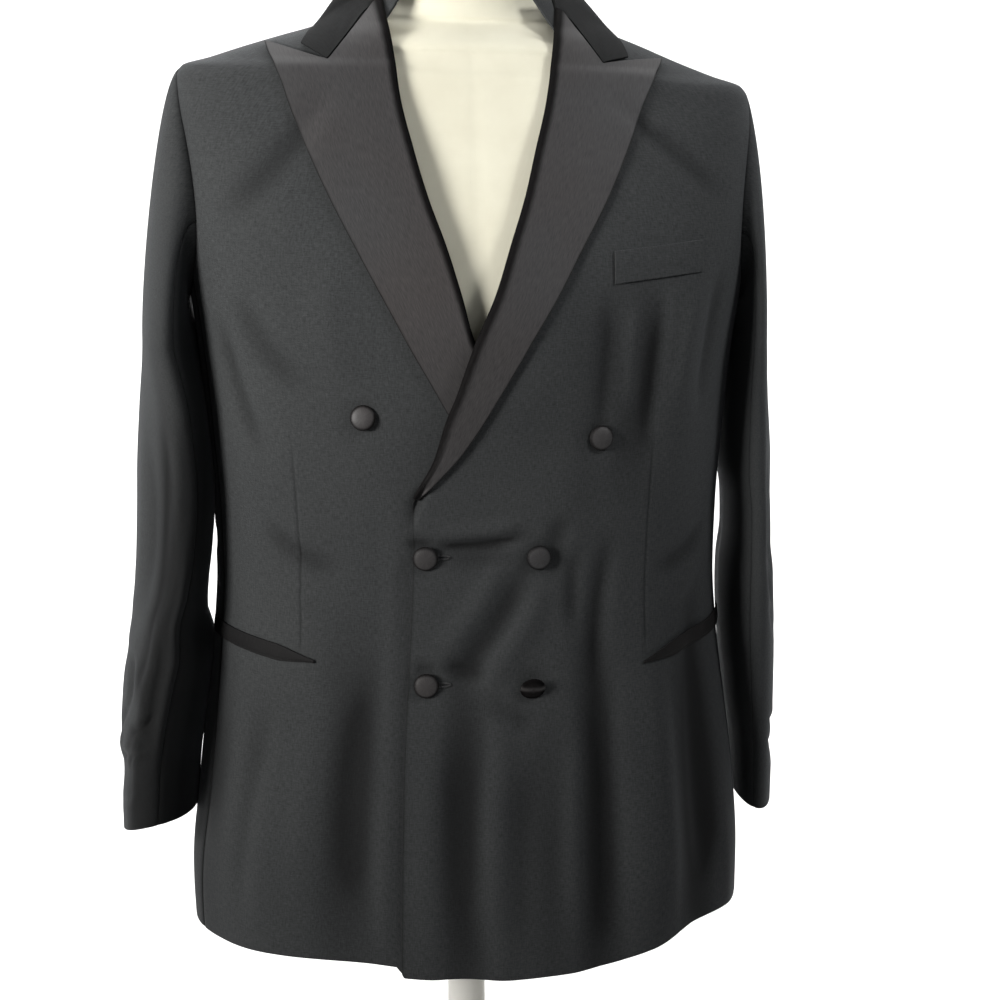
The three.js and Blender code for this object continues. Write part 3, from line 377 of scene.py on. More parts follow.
def woolMaterial(name, tone=1.0):
    kit = NodeKit(name)
    slubs = kit.noise(kit.flatMap((1, 0.22, 1)), woolLook["slubs"], 3, 0.6)
    picks = kit.noise(kit.flatMap((0.2, 1, 1)), woolLook["picks"], 3, 0.6)
    fibre = kit.math("ADD", kit.math("MULTIPLY", slubs, 0.5), kit.math("MULTIPLY", picks, 0.5))
    clothSurface(kit, woolLook, tone, fibre, kit.noise(kit.objectMap(), woolLook["cloud"], 3, 0.5))
    socket(kit.shader, "Roughness", woolLook["rough"])
    socket(kit.shader, "Specular IOR Level", woolLook["gloss"])
    socket(kit.shader, "Sheen Weight", woolLook["sheen"] * tone)
    socket(kit.shader, "Sheen Roughness", woolLook["sheenRough"])
    socket(kit.shader, "Sheen Tint", woolLook["sheenTint"])
    return kit.material


satinLook = {"colourLow": (0.040, 0.0385, 0.0385), "colourHigh": (0.066, 0.063, 0.0625),
             "threadRange": (0.3, 0.7), "cloudTones": ((1, 0.93, 0.92), (0.93, 0.96, 1)),
             "pitch": (0.0005, 0.0011), "twill": 72, "weaveHigh": 0.00003, "weaveBump": 0.5,
             "threadHigh": 0.00012, "threadBump": 0.4, "threads": 1300, "cloud": 7,
             "roughRange": ((0.54,) * 3, (0.64,) * 3)}


# Satin's gloss fades where the piece's painted shade darkens it.
def satinMaterial(name, tone, rough, gloss):
    kit = NodeKit(name)
    threads = kit.noise(kit.flatMap((1, 0.12, 1)), satinLook["threads"], 2, 0.5)
    clothSurface(kit, satinLook, tone, threads, kit.noise(kit.objectMap(), satinLook["cloud"], 2, 0.5))
    if rough is None:
        kit.link(kit.ramp(threads, 0.2, 0.8, *satinLook["roughRange"]), kit.shader.inputs["Roughness"])
    else:
        socket(kit.shader, "Roughness", rough)
    kit.link(kit.math("MULTIPLY", kit.kept(1.0), gloss), kit.shader.inputs["Specular IOR Level"])
    return kit.material


# Knitted cover of the form: wales run up the body, courses cross them.
def jerseyMaterial(name):
    kit = NodeKit(name)
    split = kit.add("ShaderNodeSeparateXYZ")
    kit.link(kit.flatMap(), split.inputs[0])
    wales = kit.math("ABSOLUTE", kit.math("SINE", kit.math("MULTIPLY", split.outputs[0], math.pi / 0.0013)))
    courses = kit.math("SINE", kit.math("MULTIPLY", split.outputs[1], 2 * math.pi / 0.0011))
    knit = kit.math("ADD", wales, kit.math("MULTIPLY", courses, 0.25))
    cloud = kit.noise(kit.objectMap(), 14, 4, 0.6)
    colour = kit.ramp(cloud, 0.3, 0.72, (0.60, 0.575, 0.46), (0.67, 0.65, 0.53))
    colour = kit.shade(colour, kit.ramp(wales, 0.0, 0.6, (0.94, 0.94, 0.93), (1, 1, 1)), 0.4)
    kit.link(colour, kit.shader.inputs["Base Color"])
    kit.link(kit.bump(knit, 0.00018, 0.15), kit.shader.inputs["Normal"])
    socket(kit.shader, "Roughness", 0.88)
    socket(kit.shader, "Sheen Weight", 0.12)
    return kit.material


def paintMaterial(name):
    kit = NodeKit(name)
    peel = kit.noise(kit.objectMap(), 420, 2, 0.5)
    wear = kit.noise(kit.objectMap(), 11, 4, 0.6)
    colour = kit.ramp(wear, 0.35, 0.75, (0.74, 0.73, 0.70), (0.80, 0.79, 0.76))
    kit.link(colour, kit.shader.inputs["Base Color"])
    kit.link(kit.ramp(wear, 0.3, 0.7, (0.34,) * 3, (0.44,) * 3), kit.shader.inputs["Roughness"])
    kit.link(kit.bump(peel, 0.0001, 0.35), kit.shader.inputs["Normal"])
    return kit.material


def threadMaterial(name):
    kit = NodeKit(name)
    twist = kit.noise(kit.objectMap(), 2600, 2, 0.5)
    colour = kit.ramp(twist, 0.3, 0.7, (0.006, 0.006, 0.007), (0.016, 0.016, 0.017))
    kit.link(colour, kit.shader.inputs["Base Color"])
    kit.link(kit.bump(twist, 0.0001, 0.5), kit.shader.inputs["Normal"])
    socket(kit.shader, "Roughness", 0.6)
    return kit.material


wool = woolMaterial("black wool")
# The collar's wool is the body wool at about a quarter of its colour, painted shade for the collar.
shadedCollarWool = woolMaterial("collar wool", 0.27)
lapelSatin = satinMaterial("lapel satin", 0.66, None, 0.22)
# The pocket jets' satin is darker than the lapels' satin, painting the shadow of the pockets' openings over it.
shadedJetSatin = satinMaterial("pocket satin", 0.13, 0.7, 0.12)
buttonSatin = satinMaterial("button satin", 0.62, 0.5, 0.3)
jersey = jerseyMaterial("form jersey")
paint = paintMaterial("stand paint")
thread = threadMaterial("black thread")
print("materials made")


# A mesh from points in millimetres, arrays of faces and the flat place of each point.
def newPiece(name, points, faceSets, flat, material, nodes, shade=None):
    mesh = bpy.data.meshes.new(name)
    mesh.vertices.add(len(points))
    mesh.vertices.foreach_set("co", (points * 0.001).astype(np.float32).ravel())
    loops = np.concatenate([f.ravel() for f in faceSets]).astype(np.int32)
    sizes = np.concatenate([np.full(len(f), f.shape[1]) for f in faceSets])
    mesh.loops.add(len(loops))
    mesh.loops.foreach_set("vertex_index", loops)
    mesh.polygons.add(len(sizes))
    mesh.polygons.foreach_set("loop_start", np.concatenate([[0], np.cumsum(sizes)[:-1]]).astype(np.int32))
    mesh.polygons.foreach_set("use_smooth", np.ones(len(sizes), bool))
    layer = mesh.uv_layers.new(name="flat")
    layer.data.foreach_set("uv", (flat[loops] * 0.001).astype(np.float32).ravel())
    if shade is not None:
        dark = mesh.attributes.new("shade", "FLOAT", "POINT")
        dark.data.foreach_set("value", shade.astype(np.float32))
    mesh.update(calc_edges=True)
    mesh.validate()
    mesh.materials.append(material)
    piece = bpy.data.objects.new(name, mesh)
    bpy.context.scene.collection.objects.link(piece)
    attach(piece, "root")
    if nodes:
        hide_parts(*nodes)


def gridFaces(index):
    return np.stack([index[:-1, :-1], index[:-1, 1:], index[1:, 1:], index[1:, :-1]], -1).reshape(-1, 4)


# Faces turned so that the volume they close is positive.
def outward(points, faceSets):
    volume = 0.0
    for faces in faceSets:
        for k in range(1, faces.shape[1] - 1):
            a, b, c = points[faces[:, 0]], points[faces[:, k]], points[faces[:, k + 1]]
            volume += np.einsum("ij,ij->i", a, np.cross(b, c)).sum()
    return [f[:, ::-1] for f in faceSets] if volume < 0 else faceSets


# Places in a rounded edge, as shares of the thickness, and the half thickness there.
edgeRound = np.array([0, 0.067, 0.25, 0.5])
edgeHalf = np.array([0, 0.5, 0.866, 1.0])


def gridNormal(middle):
    return unit(np.cross(np.gradient(middle, axis=1), np.gradient(middle, axis=0)))


# Cloth of one thickness about a grid of middle points. The first and last three rows and columns lie
# within the rounded edge, where the half thickness follows a quarter circle to nothing.
def clothPiece(name, middle, flat, thick, material, nodes, shade=None):
    rows, columns = middle.shape[:2]
    profiles = []
    for count in (rows, columns):
        profile = np.ones(count)
        profile[:4], profile[-4:] = edgeHalf, edgeHalf[::-1]
        profiles.append(profile)
    half = thick / 2 * profiles[0][:, None, None] * profiles[1][None, :, None]
    offset = gridNormal(middle) * half
    points = np.concatenate([(middle + offset).reshape(-1, 3), (middle - offset).reshape(-1, 3)])
    outer = np.arange(rows * columns).reshape(rows, columns)
    inner = outer + rows * columns
    inner[0], inner[-1], inner[:, 0], inner[:, -1] = outer[0], outer[-1], outer[:, 0], outer[:, -1]
    faces = np.concatenate([gridFaces(outer), gridFaces(inner)[:, ::-1]])
    used, faces = np.unique(faces, return_inverse=True)
    points, faces = points[used], faces.reshape(-1, 4)
    flat = np.concatenate([flat.reshape(-1, 2)] * 2)[used]
    if shade is not None:
        shade = np.clip(np.concatenate([np.broadcast_to(shade, (rows, columns)).ravel()] * 2)[used], 0, 1)
    newPiece(name, points, outward(points, [faces]), flat, material, nodes, shade)


# Rows from low to high with close steps inside both rounded edges; rate is millimetres for each unit.
def closeEnds(values, thick, rate, more=()):
    near = np.concatenate([edgeRound * thick, np.asarray(more, float)]) / rate
    low, high = values[0], values[-1]
    inside = values[(values > low + near[-1] * 1.4) & (values < high - near[-1] * 1.4)]
    return np.concatenate([low + near, inside, high - near[::-1]])


# Steps in millimetres from a seam and from a dart at which columns lie close.
seamSteps = (2.0, 3.4, 5.2)
dartSteps = (-4.5, -3, -1.8, -0.9, 0, 0.9, 1.8, 3, 4.5)
rowLevels = closeEnds(np.interp(np.arange(25 * 8 + 1) / 8, np.arange(26), bodyLevels), body["wool"], 1)


def between(start, stop, count):
    return [lerp(start, stop, s) for s in np.linspace(0, 1, count + 1)[1:-1]]


# Angles across a panel, one line for each row: close columns at both edges and beside the dart.
def panelColumns(low, high, count, dart=None):
    low, high = (np.broadcast_to(np.asarray(v, float), rowLevels.shape) for v in (low, high))
    toward = np.sign(high - low)[0] / body["mmPerDegree"]
    near = np.concatenate([edgeRound * body["wool"], seamSteps])
    first, last = low + toward * near[-1], high - toward * near[-1]
    if dart is None:
        inside = between(first, last, count)
    else:
        before, after = dart + toward * dartSteps[0], dart + toward * dartSteps[-1]
        inside = between(first, before, count // 2)
        inside += [np.full_like(low, dart) + toward * s for s in dartSteps]
        inside += between(after, last, count - count // 2)
    return np.stack([low + toward * s for s in near] + inside + [high - toward * s for s in near[::-1]], 1)


def seamDip(turn, at):
    distance = (turn - at) * body["mmPerDegree"]
    return -body["seamDip"] * np.exp(-(distance / body["seamSoft"]) ** 2)


# Fronts. The left one laps over the right, out by one layer and further where it crosses the lapel below.
front = {"edgeHem": -22.8, "edgeBreak": -20.2, "breakUp": 384, "underlap": 21, "neckCut": 752, "neckTurn": 76,
         "lapStep": 2.6, "lapTurn": (23, 34), "lapUp": (500, 600), "crossAcross": -4, "crossUp": 503,
         "crossReach": (38, 108), "crossLift": 6.2, "edgeDark": 0.7, "edgeSoft": 1.6,
         "dartLeft": 47, "dartRight": -49.7, "dartLow": 262, "dartHigh": 450, "dartDeep": 0.45,
         "dartSoft": 1.2, "dartLift": 0.15, "dartBeside": 3.4, "dartWide": 2, "columns": 84}
# Roll line and outer edge of each lapel, measured towards its own side, and the corners of its top.
lapelShape = {
    1: {"rollTop": 757, "low": (388, 386.5), "notch": (101, 719), "tip": (153, 726)},
    -1: {"rollTop": 761, "low": (496, 449), "notch": (112, 715.5), "tip": (160, 728.5)},
}
rollLine = {
    1: {
        "up": [384, 394, 416, 450, 466, 504, 540, 577, 615, 652, 690, 728, 747, 757],
        "across": [-54, -48.5, -36.5, -25, -18.3, -4, 12.8, 25.6, 38.6, 48.7, 59.2, 66, 69.2, 71],
    },
    -1: {
        "up": [384, 404, 428, 474, 507, 540, 577, 614, 650, 687, 725, 747, 761],
        "across": [-54, -45, -35, -12, 8.6, 18.1, 29.7, 43, 53.2, 61.7, 66.2, 69.4, 71],
    },
}
lapelEdge = {
    1: {
        "up": [380, 396, 421, 441, 467, 508, 541, 579, 616, 654, 692, 711, 726],
        "across": [-55, -40.5, -18.2, -4.6, 11.1, 35.4, 56.5, 78, 98.7, 116.6, 132.8, 142.8, 153],
    },
    -1: {
        "up": [440, 455, 475, 503, 540, 576, 612, 648, 685, 700, 721, 728.5],
        "across": [18, 27.4, 38.7, 54.8, 75.1, 94.5, 113.1, 129.5, 143.8, 148.5, 157.6, 160],
    },
}


def lapLift(across, up):
    turn = turnAt(across, up)
    over = (1 - smoothStep(turn, *front["lapTurn"])) * (1 - smoothStep(up, *front["lapUp"]))
    distance = np.hypot(across - front["crossAcross"], up - front["crossUp"])
    crossing = 1 - smoothStep(distance, *front["crossReach"])
    return front["lapStep"] * over + front["crossLift"] * crossing


# Edge of a front above its break, towards its own side: the roll line, then the cut round the neck.
def rollTurn(side, up):
    cut = front["neckCut"]
    roll = turnAt(column(rollLine[side], "up", "across", up), up)
    start = turnAt(column(rollLine[side], "up", "across", cut), cut)
    share = (up - cut) / (body["neckUp"] - cut)
    return np.where(up > cut, lerp(start, front["neckTurn"], share), roll)


def frontEdge(side, up):
    left = lerp(front["edgeHem"], front["edgeBreak"], smoothStep(up, 150, front["breakUp"]))
    below = left if side > 0 else front["underlap"]
    return np.where(up < front["breakUp"], below, side * rollTurn(side, up))


# A dart is a stitched line that dips, with the cloth lifted beside it, widest at its middle.
def dartDip(turn, up, dart):
    d = (turn - dart) * body["mmPerDegree"]
    ends = smoothStep(up, front["dartLow"] - 6, front["dartLow"] + 10)
    ends = ends * (1 - smoothStep(up, front["dartHigh"] - 60, front["dartHigh"]))
    line = -front["dartDeep"] * np.exp(-(d / front["dartSoft"]) ** 2)
    beside = front["dartLift"] * np.exp(-((np.abs(d) - front["dartBeside"]) / front["dartWide"]) ** 2)
    return (line + beside) * ends


# Seams and darts get painted shade where their dip is, full at a dip of seamDeep.
def seamShade(lift):
    return body["seamDark"] * np.clip(-lift / body["seamDeep"], 0, 1)


def flatPlace(turn, level):
    return np.stack([turn * body["mmPerDegree"], level], -1)


def bodyPanel(part, side, turn, level, lift, shade):
    word = sideWord(side)
    clothPiece("wool_" + part + word, bodyPoint(turn, level, lift), flatPlace(turn, level), body["wool"],
               wool, [part + word], shade)


def frontCloth(side):
    up = rowLevels
    outer = sideLimit(up)
    dart = front["dartLeft"] if side > 0 else front["dartRight"]
    gap = halfGap(outer, up)
    turn = panelColumns(frontEdge(side, up), side * (outer - gap), front["columns"], dart)
    level = np.broadcast_to(up[:, None], turn.shape)
    lift = seamDip(turn, side * outer[:, None]) + dartDip(turn, level, dart)
    shade = seamShade(lift) + foldShade(turn, level)
    if side > 0:
        lift = lift + lapLift(bodySmooth(turn, level)[..., 0], level)
        # Painted shadow along the left front's edge, where it laps over the right front.
        fromEdge = (turn - turn[:, :1]) * body["mmPerDegree"]
        shade = shade + front["edgeDark"] * np.exp(-(fromEdge / front["edgeSoft"]) ** 2)
    bodyPanel("front_", side, turn, level, lift, shade)


# Counts of rows and columns behind and at the side, and the side panel's size, in millimetres.
panel = {"backColumns": 56, "sideColumns": 26, "sideRows": 150, "sideTall": 540, "sideWide": 86}


def backCloth(side):
    up = rowLevels
    outer = 180 - sideLimit(up)
    turn = side * panelColumns(outer + halfGap(outer, up), 180 - halfGap(180.0, up), panel["backColumns"])
    level = np.broadcast_to(up[:, None], turn.shape)
    lift = seamDip(turn, side * outer[:, None]) + seamDip(turn, side * 180.0)
    bodyPanel("back_", side, turn, level, lift, seamShade(lift) + foldShade(turn, level))


# Underarm panel: its top edge dips into the armhole along half an ellipse.
def sideCloth(side):
    rows = closeEnds(np.linspace(0, 1, panel["sideRows"]), body["wool"], panel["sideTall"])
    gap = float(halfGap(90.0, 300.0))
    low, high = body["frontSeam"] + gap, body["backSeam"] - gap
    share = closeEnds(np.linspace(0, 1, panel["sideColumns"]), body["wool"], panel["sideWide"], seamSteps)
    share = share[None, :]
    dip = np.sqrt(np.clip(1 - (share * 2 - 1) ** 2, 0, 1))
    top = lerp(body["seamTop"], body["armholeUp"] - body["armholeTall"], dip)
    level = rows[:, None] * top
    turn = side * np.broadcast_to(lerp(low, high, share), level.shape)
    lift = seamDip(turn, side * body["frontSeam"]) + seamDip(turn, side * body["backSeam"])
    bodyPanel("side_", side, turn, level, lift, seamShade(lift) + foldShade(turn, level))


for side in (1, -1):
    for makePanel in (frontCloth, backCloth, sideCloth):
        makePanel(side)
print("body panels made")

# Sleeves: sections below the armhole. out is the middle's distance from the body's axis, back its place
# behind it, thick and deep are half sizes, turn swings the front of the section outwards.
sleeveRows = {
    -1: {
        "height": [240, 290, 335, 372, 398, 425, 450, 480, 530, 593, 648],
        "out": [258.5, 257, 252.8, 248.2, 244.5, 245.6, 244, 241.6, 239.6, 240.6, 241.5],
        "back": [-14, -13, -12, -10, -8.5, -6.5, -5, -4, -2, 0, 2],
        "thick": [29, 31, 33.2, 34.4, 33.6, 28.9, 28.2, 29, 30.2, 26.6, 21.4],
        "deep": [61, 66, 72, 75, 77, 79, 80, 81, 84, 89, 93],
        "turn": [9, 8, 7, 5, 3, 0, -4, -6, -7, -5, 1],
    },
    1: {
        "height": [243, 290, 335, 422, 450, 480, 508, 540, 593, 648],
        "out": [252, 250, 246.5, 240.8, 240.0, 240.2, 239.4, 237, 236, 234.5],
        "back": [26, 20, 14, 4, 2, 1, 0, 1, 2, 3],
        "thick": [15.5, 16.5, 18.8, 21.9, 21.0, 18.6, 18.6, 20.5, 17.8, 12.5],
        "deep": [67, 71, 75, 80, 81, 82, 84, 87, 91, 97],
        "turn": [-3, -3, -3, -3, -3, -4, -4, -4, -4, -3],
    },
}
# The cuff rises by cuffRise at the back on the left; on the right by a base, at front and back, and inside.
sleeve = {"thick": 1.6, "seamFront": -18, "seamBack": 196, "seamGap": 0.06, "seamDip": 0.5, "seamSoft": 2.2,
          "headShare": 0.36, "headRows": 34, "headTall": 50, "rows": 150, "long": 640, "axis": 245.0,
          "topColumns": 96, "underColumns": 60, "armholeGap": -1.3, "swellUnder": 0.85,
          "swellOver": {1: 0.04, -1: 0.16}, "arrive": 0.9, "cuffFrom": 0.8, "cuffRise": 9,
          "cuffRight": (2, 6, 14), "mmPerDegree": 1.0, "flatPerDegree": 1.15, "creaseScale": 1.3}
# Painted shade on the sleeves: in seams, folds and the armhole, on the side that faces the body, and on the
# right the inner side turned from the light, whose edge waves at the elbow by bend + wave * sin(height).
sleevePaintedShade = {"seam": 0.25, "fold": 0.5, "deepFold": 5, "armhole": 0.7, "armholeSoft": 0.012,
              "inner": 0.7, "innerFacing": (0.25, 0.9), "dark": 0.85, "darkEdge": (-0.2, 0.14),
              "darkHeight": (480, 720), "bend": 0.6, "wave": 0.16, "waveFrom": 300, "wavePitch": 11,
              "waveHeight": 352, "waveTall": 70}
# Broad folds: angle (0 front, 90 outside, 180 behind), height, wide, tall, depth.
sleeveFolds = {
    -1: [(42, 500, 34, 150, -5), (84, 430, 36, 170, 3), (50, 292, 48, 26, -4), (150, 430, 50, 30, -5)],
    1: [(48, 520, 34, 150, -4), (60, 300, 48, 26, -3), (145, 445, 50, 32, -4)],
}
# Creases: from angle, height to angle, height, half width, depth, bow.
sleeveCreases = {
    -1: [
        (18, 500, 46, 350, 12, -1.3, 5), (40, 490, 64, 380, 12, 0.7, 4), (60, 395, 44, 352, 7, -1.7, 3),
        (46, 352, 72, 322, 6, -2.0, -3), (30, 318, 66, 306, 6, -1.9, 3), (58, 330, 84, 300, 7, 1.0, 3),
        (28, 590, 30, 470, 11, -1.3, 4), (10, 590, 16, 500, 11, 0.8, 3), (62, 580, 58, 450, 13, -1.0, 4),
        (96, 470, 130, 446, 8, -1.8, 4), (100, 440, 150, 420, 8, -2.0, 5), (104, 408, 146, 396, 8, -1.6, 4),
        (98, 425, 130, 408, 7, 1.1, 3), (170, 420, 236, 436, 9, -1.8, 5), (160, 340, 200, 310, 8, -1.5, 4),
        (104, 330, 160, 312, 8, -1.4, 4), (120, 620, 134, 520, 12, -1.5, 5), (256, 560, 262, 380, 12, -1.4, 5),
        (12, 420, 6, 330, 9, -1.4, 3), (20, 275, 70, 268, 8, -1.0, 3), (20, 470, 24, 250, 10, 1.1, 3),
        (-4, 480, -10, 300, 7, 1.4, 3), (-2, 352, 34, 334, 6, -1.8, 3), (0, 322, 40, 300, 6, -1.5, -3),
    ],
    1: [
        (30, 560, 36, 440, 10, -1.8, 4), (52, 540, 54, 430, 9, 1.2, 3), (20, 470, 50, 420, 8, -1.8, 4),
        (26, 432, 60, 396, 8, -1.5, 4), (70, 540, 74, 430, 11, -1.3, 3), (30, 330, 72, 312, 7, -1.8, 4),
        (24, 306, 60, 296, 6, -1.4, 3), (98, 480, 138, 456, 8, -1.8, 4), (100, 446, 150, 430, 8, -1.8, 5),
        (104, 416, 146, 402, 8, -1.5, 4), (166, 430, 230, 444, 9, -1.6, 5), (104, 350, 160, 326, 8, -1.4, 4),
        (122, 620, 132, 530, 12, -1.4, 5), (254, 560, 260, 390, 12, -1.3, 5), (40, 620, 34, 560, 9, -1.1, 4),
    ],
}


def armholeStart(side, angle):
    c = np.sin(np.radians(angle))
    up = body["armholeUp"] + body["armholeTall"] * c
    offset = body["armholeWide"] * np.cos(np.radians(angle)) * (1 - body["armholeEgg"] * c)
    turn = side * (90 - offset)
    start = bodyPoint(turn, up, body["wool"] / 2 + sleeve["armholeGap"])
    leave = bodyNormal(turn, up) * np.array([1, 1, 0.2])
    return start, unit(leave), lerp(sleeve["swellUnder"], sleeve["swellOver"][side], (c + 1) / 2)


def sleeveFoldDepth(side, angle, height):
    around = np.mod(angle + 60, 360) - 60
    depth = sleeve["creaseScale"] * creaseDepth(sleeveCreases[side], around, height, sleeve["mmPerDegree"])
    for foldAngle, foldHeight, wide, tall, deepFold in sleeveFolds[side]:
        depth = depth + deepFold * hump((angle - foldAngle) / wide) * hump((height - foldHeight) / tall)
    return depth


def sleeveSection(side, angle, height):
    thick, deep, out, back, turn = columns(
        sleeveRows[side], "height", ("thick", "deep", "out", "back", "turn"), height)
    depth = sleeveFoldDepth(side, angle, height)
    a, swing = np.radians(angle), np.radians(turn)
    wide = (thick + depth) * np.sin(a)
    long = -(deep + depth) * np.cos(a)
    x = side * (out + wide * np.cos(swing) - long * np.sin(swing))
    return np.stack([x, back + long * np.cos(swing) + wide * np.sin(swing), height + 0 * x], -1)


# Weights of a cubic's start, start slope, end and end slope.
def cubicWeights(s):
    return 2 * s ** 3 - 3 * s ** 2 + 1, s ** 3 - 2 * s ** 2 + s, 3 * s ** 2 - 2 * s ** 3, s ** 3 - s ** 2


# Upper part: a cubic from the armhole, leaving along the body's normal, to the top section, arriving
# downwards. Lower part: the sections, with the cuff raised at its edge.
def sleevePoint(side, angle, share):
    angle, share = np.broadcast_arrays(np.asarray(angle, float), np.asarray(share, float))
    cuffEnd, topHeight = (float(sleeveRows[side]["height"][k]) for k in (0, -1))
    start, leave, swell = armholeStart(side, angle)
    top = sleeveSection(side, angle, np.full(angle.shape, topHeight))
    length = np.linalg.norm(top - start, axis=-1, keepdims=True)
    w0, w1, w2, w3 = cubicWeights(np.clip(share / sleeve["headShare"], 0, 1)[..., None])
    head = start * w0 + leave * length * swell[..., None] * w1 + top * w2
    head = head + np.array([0, 0, -sleeve["arrive"]]) * length * w3
    lower = np.clip((share - sleeve["headShare"]) / (1 - sleeve["headShare"]), 0, 1)
    section = sleeveSection(side, angle, lerp(topHeight, cuffEnd, lower))
    fore = np.cos(np.radians(angle))
    inner = 0.5 - 0.5 * np.sin(np.radians(angle))
    base, ends, inside = sleeve["cuffRight"]
    cuff = sleeve["cuffRise"] * (0.5 - 0.5 * fore) if side > 0 else base + ends * fore ** 2 + inside * inner
    section[..., 2] += smoothStep(share, sleeve["cuffFrom"], 1) * cuff
    return np.where((share <= sleeve["headShare"])[..., None], head, section)


# Millimetres for each degree round the sleeve, along one of its seams.
def seamSpeed(side, at, share):
    return np.linalg.norm(sleevePoint(side, at + 0.5, share) - sleevePoint(side, at - 0.5, share), axis=-1)


def sleeveShade(side, angle, height, share, seam):
    tone, facing = sleevePaintedShade, np.sin(np.radians(angle))
    folds = np.clip(-sleeveFoldDepth(side, angle, height) / tone["deepFold"], 0, 1)
    shade = tone["seam"] * seam + tone["fold"] * folds
    shade = shade + tone["armhole"] * np.exp(-(share / tone["armholeSoft"]) ** 2)
    shade = shade + tone["inner"] * smoothStep(-facing, *tone["innerFacing"])
    if side < 0:
        wave = np.sin((height - tone["waveFrom"]) / tone["wavePitch"])
        bent = tone["bend"] + tone["wave"] * wave * hump((height - tone["waveHeight"]) / tone["waveTall"])
        dark = tone["dark"] * (1 - smoothStep(facing - bent, *tone["darkEdge"]))
        shade = shade + dark * (1 - smoothStep(height, *tone["darkHeight"]))
    return shade


def sleeveCloth(side, part, low, high, count):
    head = np.linspace(0, sleeve["headShare"], sleeve["headRows"])
    arm = np.linspace(sleeve["headShare"], 1, sleeve["rows"])[1:]
    share = np.concatenate([head, arm])
    first = edgeRound * sleeve["thick"] / sleeve["headTall"] * sleeve["headShare"]
    last = 1 - edgeRound[::-1] * sleeve["thick"] / sleeve["long"]
    inside = share[(share > first[-1] * 1.4) & (share < last[0] - 0.001)]
    share = np.concatenate([first, inside, last])[:, None]
    speedLow, speedHigh = seamSpeed(side, low, share), seamSpeed(side, high, share)
    near = np.concatenate([edgeRound * sleeve["thick"], seamSteps])
    start, stop = low + sleeve["seamGap"] / 2 / speedLow, high - sleeve["seamGap"] / 2 / speedHigh
    inside = np.linspace(0, 1, count + 1)[1:-1]
    inside = lerp(start + near[-1] / speedLow, stop - near[-1] / speedHigh, inside)
    angle = np.concatenate([start + near / speedLow, inside, stop - near[::-1] / speedHigh], 1)
    middle = sleevePoint(side, angle, share)
    out = gridNormal(middle)
    centre = np.array([side * sleeve["axis"], 0, 0])
    flip = np.sign(((middle - centre) * out * np.array([1, 1, 0])).sum())
    edge = np.minimum((angle - start) * speedLow, (stop - angle) * speedHigh)
    seam = np.exp(-(edge / sleeve["seamSoft"]) ** 2)
    middle = middle - out * flip * (sleeve["seamDip"] * seam)[..., None]
    shade = sleeveShade(side, angle, middle[..., 2], share, seam)
    word = f"{part}_sleeve_{sideWord(side)}"
    flat = np.stack([angle * sleeve["flatPerDegree"], middle[..., 2]], -1)
    clothPiece("wool_" + word, middle, flat, sleeve["thick"], wool, [word], shade)


for side in (1, -1):
    sleeveCloth(side, "top", sleeve["seamFront"], sleeve["seamBack"], sleeve["topColumns"])
    sleeveCloth(side, "under", sleeve["seamBack"], sleeve["seamFront"] + 360, sleeve["underColumns"])
print("sleeves made")


# A smooth curve through the columns of values, one curve for each row, at the places t (0, 1, 2 ...).
def throughNodes(values, t):
    last = values.shape[1] - 1
    i = np.clip(np.floor(t).astype(int), 0, last - 1)
    w0, w1, w2, w3 = cubicWeights((t - i).reshape((1, -1) + (1,) * (values.ndim - 2)))
    p1, p2 = values[:, i], values[:, i + 1]
    p0, p3 = values[:, np.maximum(i - 1, 0)], values[:, np.minimum(i + 2, last)]
    return p1 * w0 + (p2 - p0) / 2 * w1 + p2 * w2 + (p3 - p1) / 2 * w3


# Lapels: from the fold beside the roll line, over a soft roll, to the free edge with its peak and notch.
lapel = {"thick": 1.6, "notchShare": 0.41, "lift": 3.2, "rollLift": 5.0, "rows": 150, "rollSpan": 7,
         "settle": 40, "fullWidth": 34, "leastBeyond": 1.2, "bendFrom": 0.72, "bendEase": 1.6,
         "beyond": [-1.4, -3.6, -3.0, 0.5, 7], "height": [0.4, 1.7, 4.1, 5.4, 5.0],
         "shares": [0.3, 0.45, 0.62, 0.8, 1.0], "leastLift": 0.7, "long": 380, "crowd": 1.25,
         "rollColumns": 30, "flatColumns": 62, "columnStep": 16}
# Painted shade along the turned-under roll, painted shadow under the free edge and along the top edge, and how
# far in millimetres they reach.
lapelPaintedShade = {"roll": 0.95, "rollReach": (-1, 4.2), "edge": 0.8, "edgeSoft": 1.0, "top": 0.6, "topSoft": 1.4}


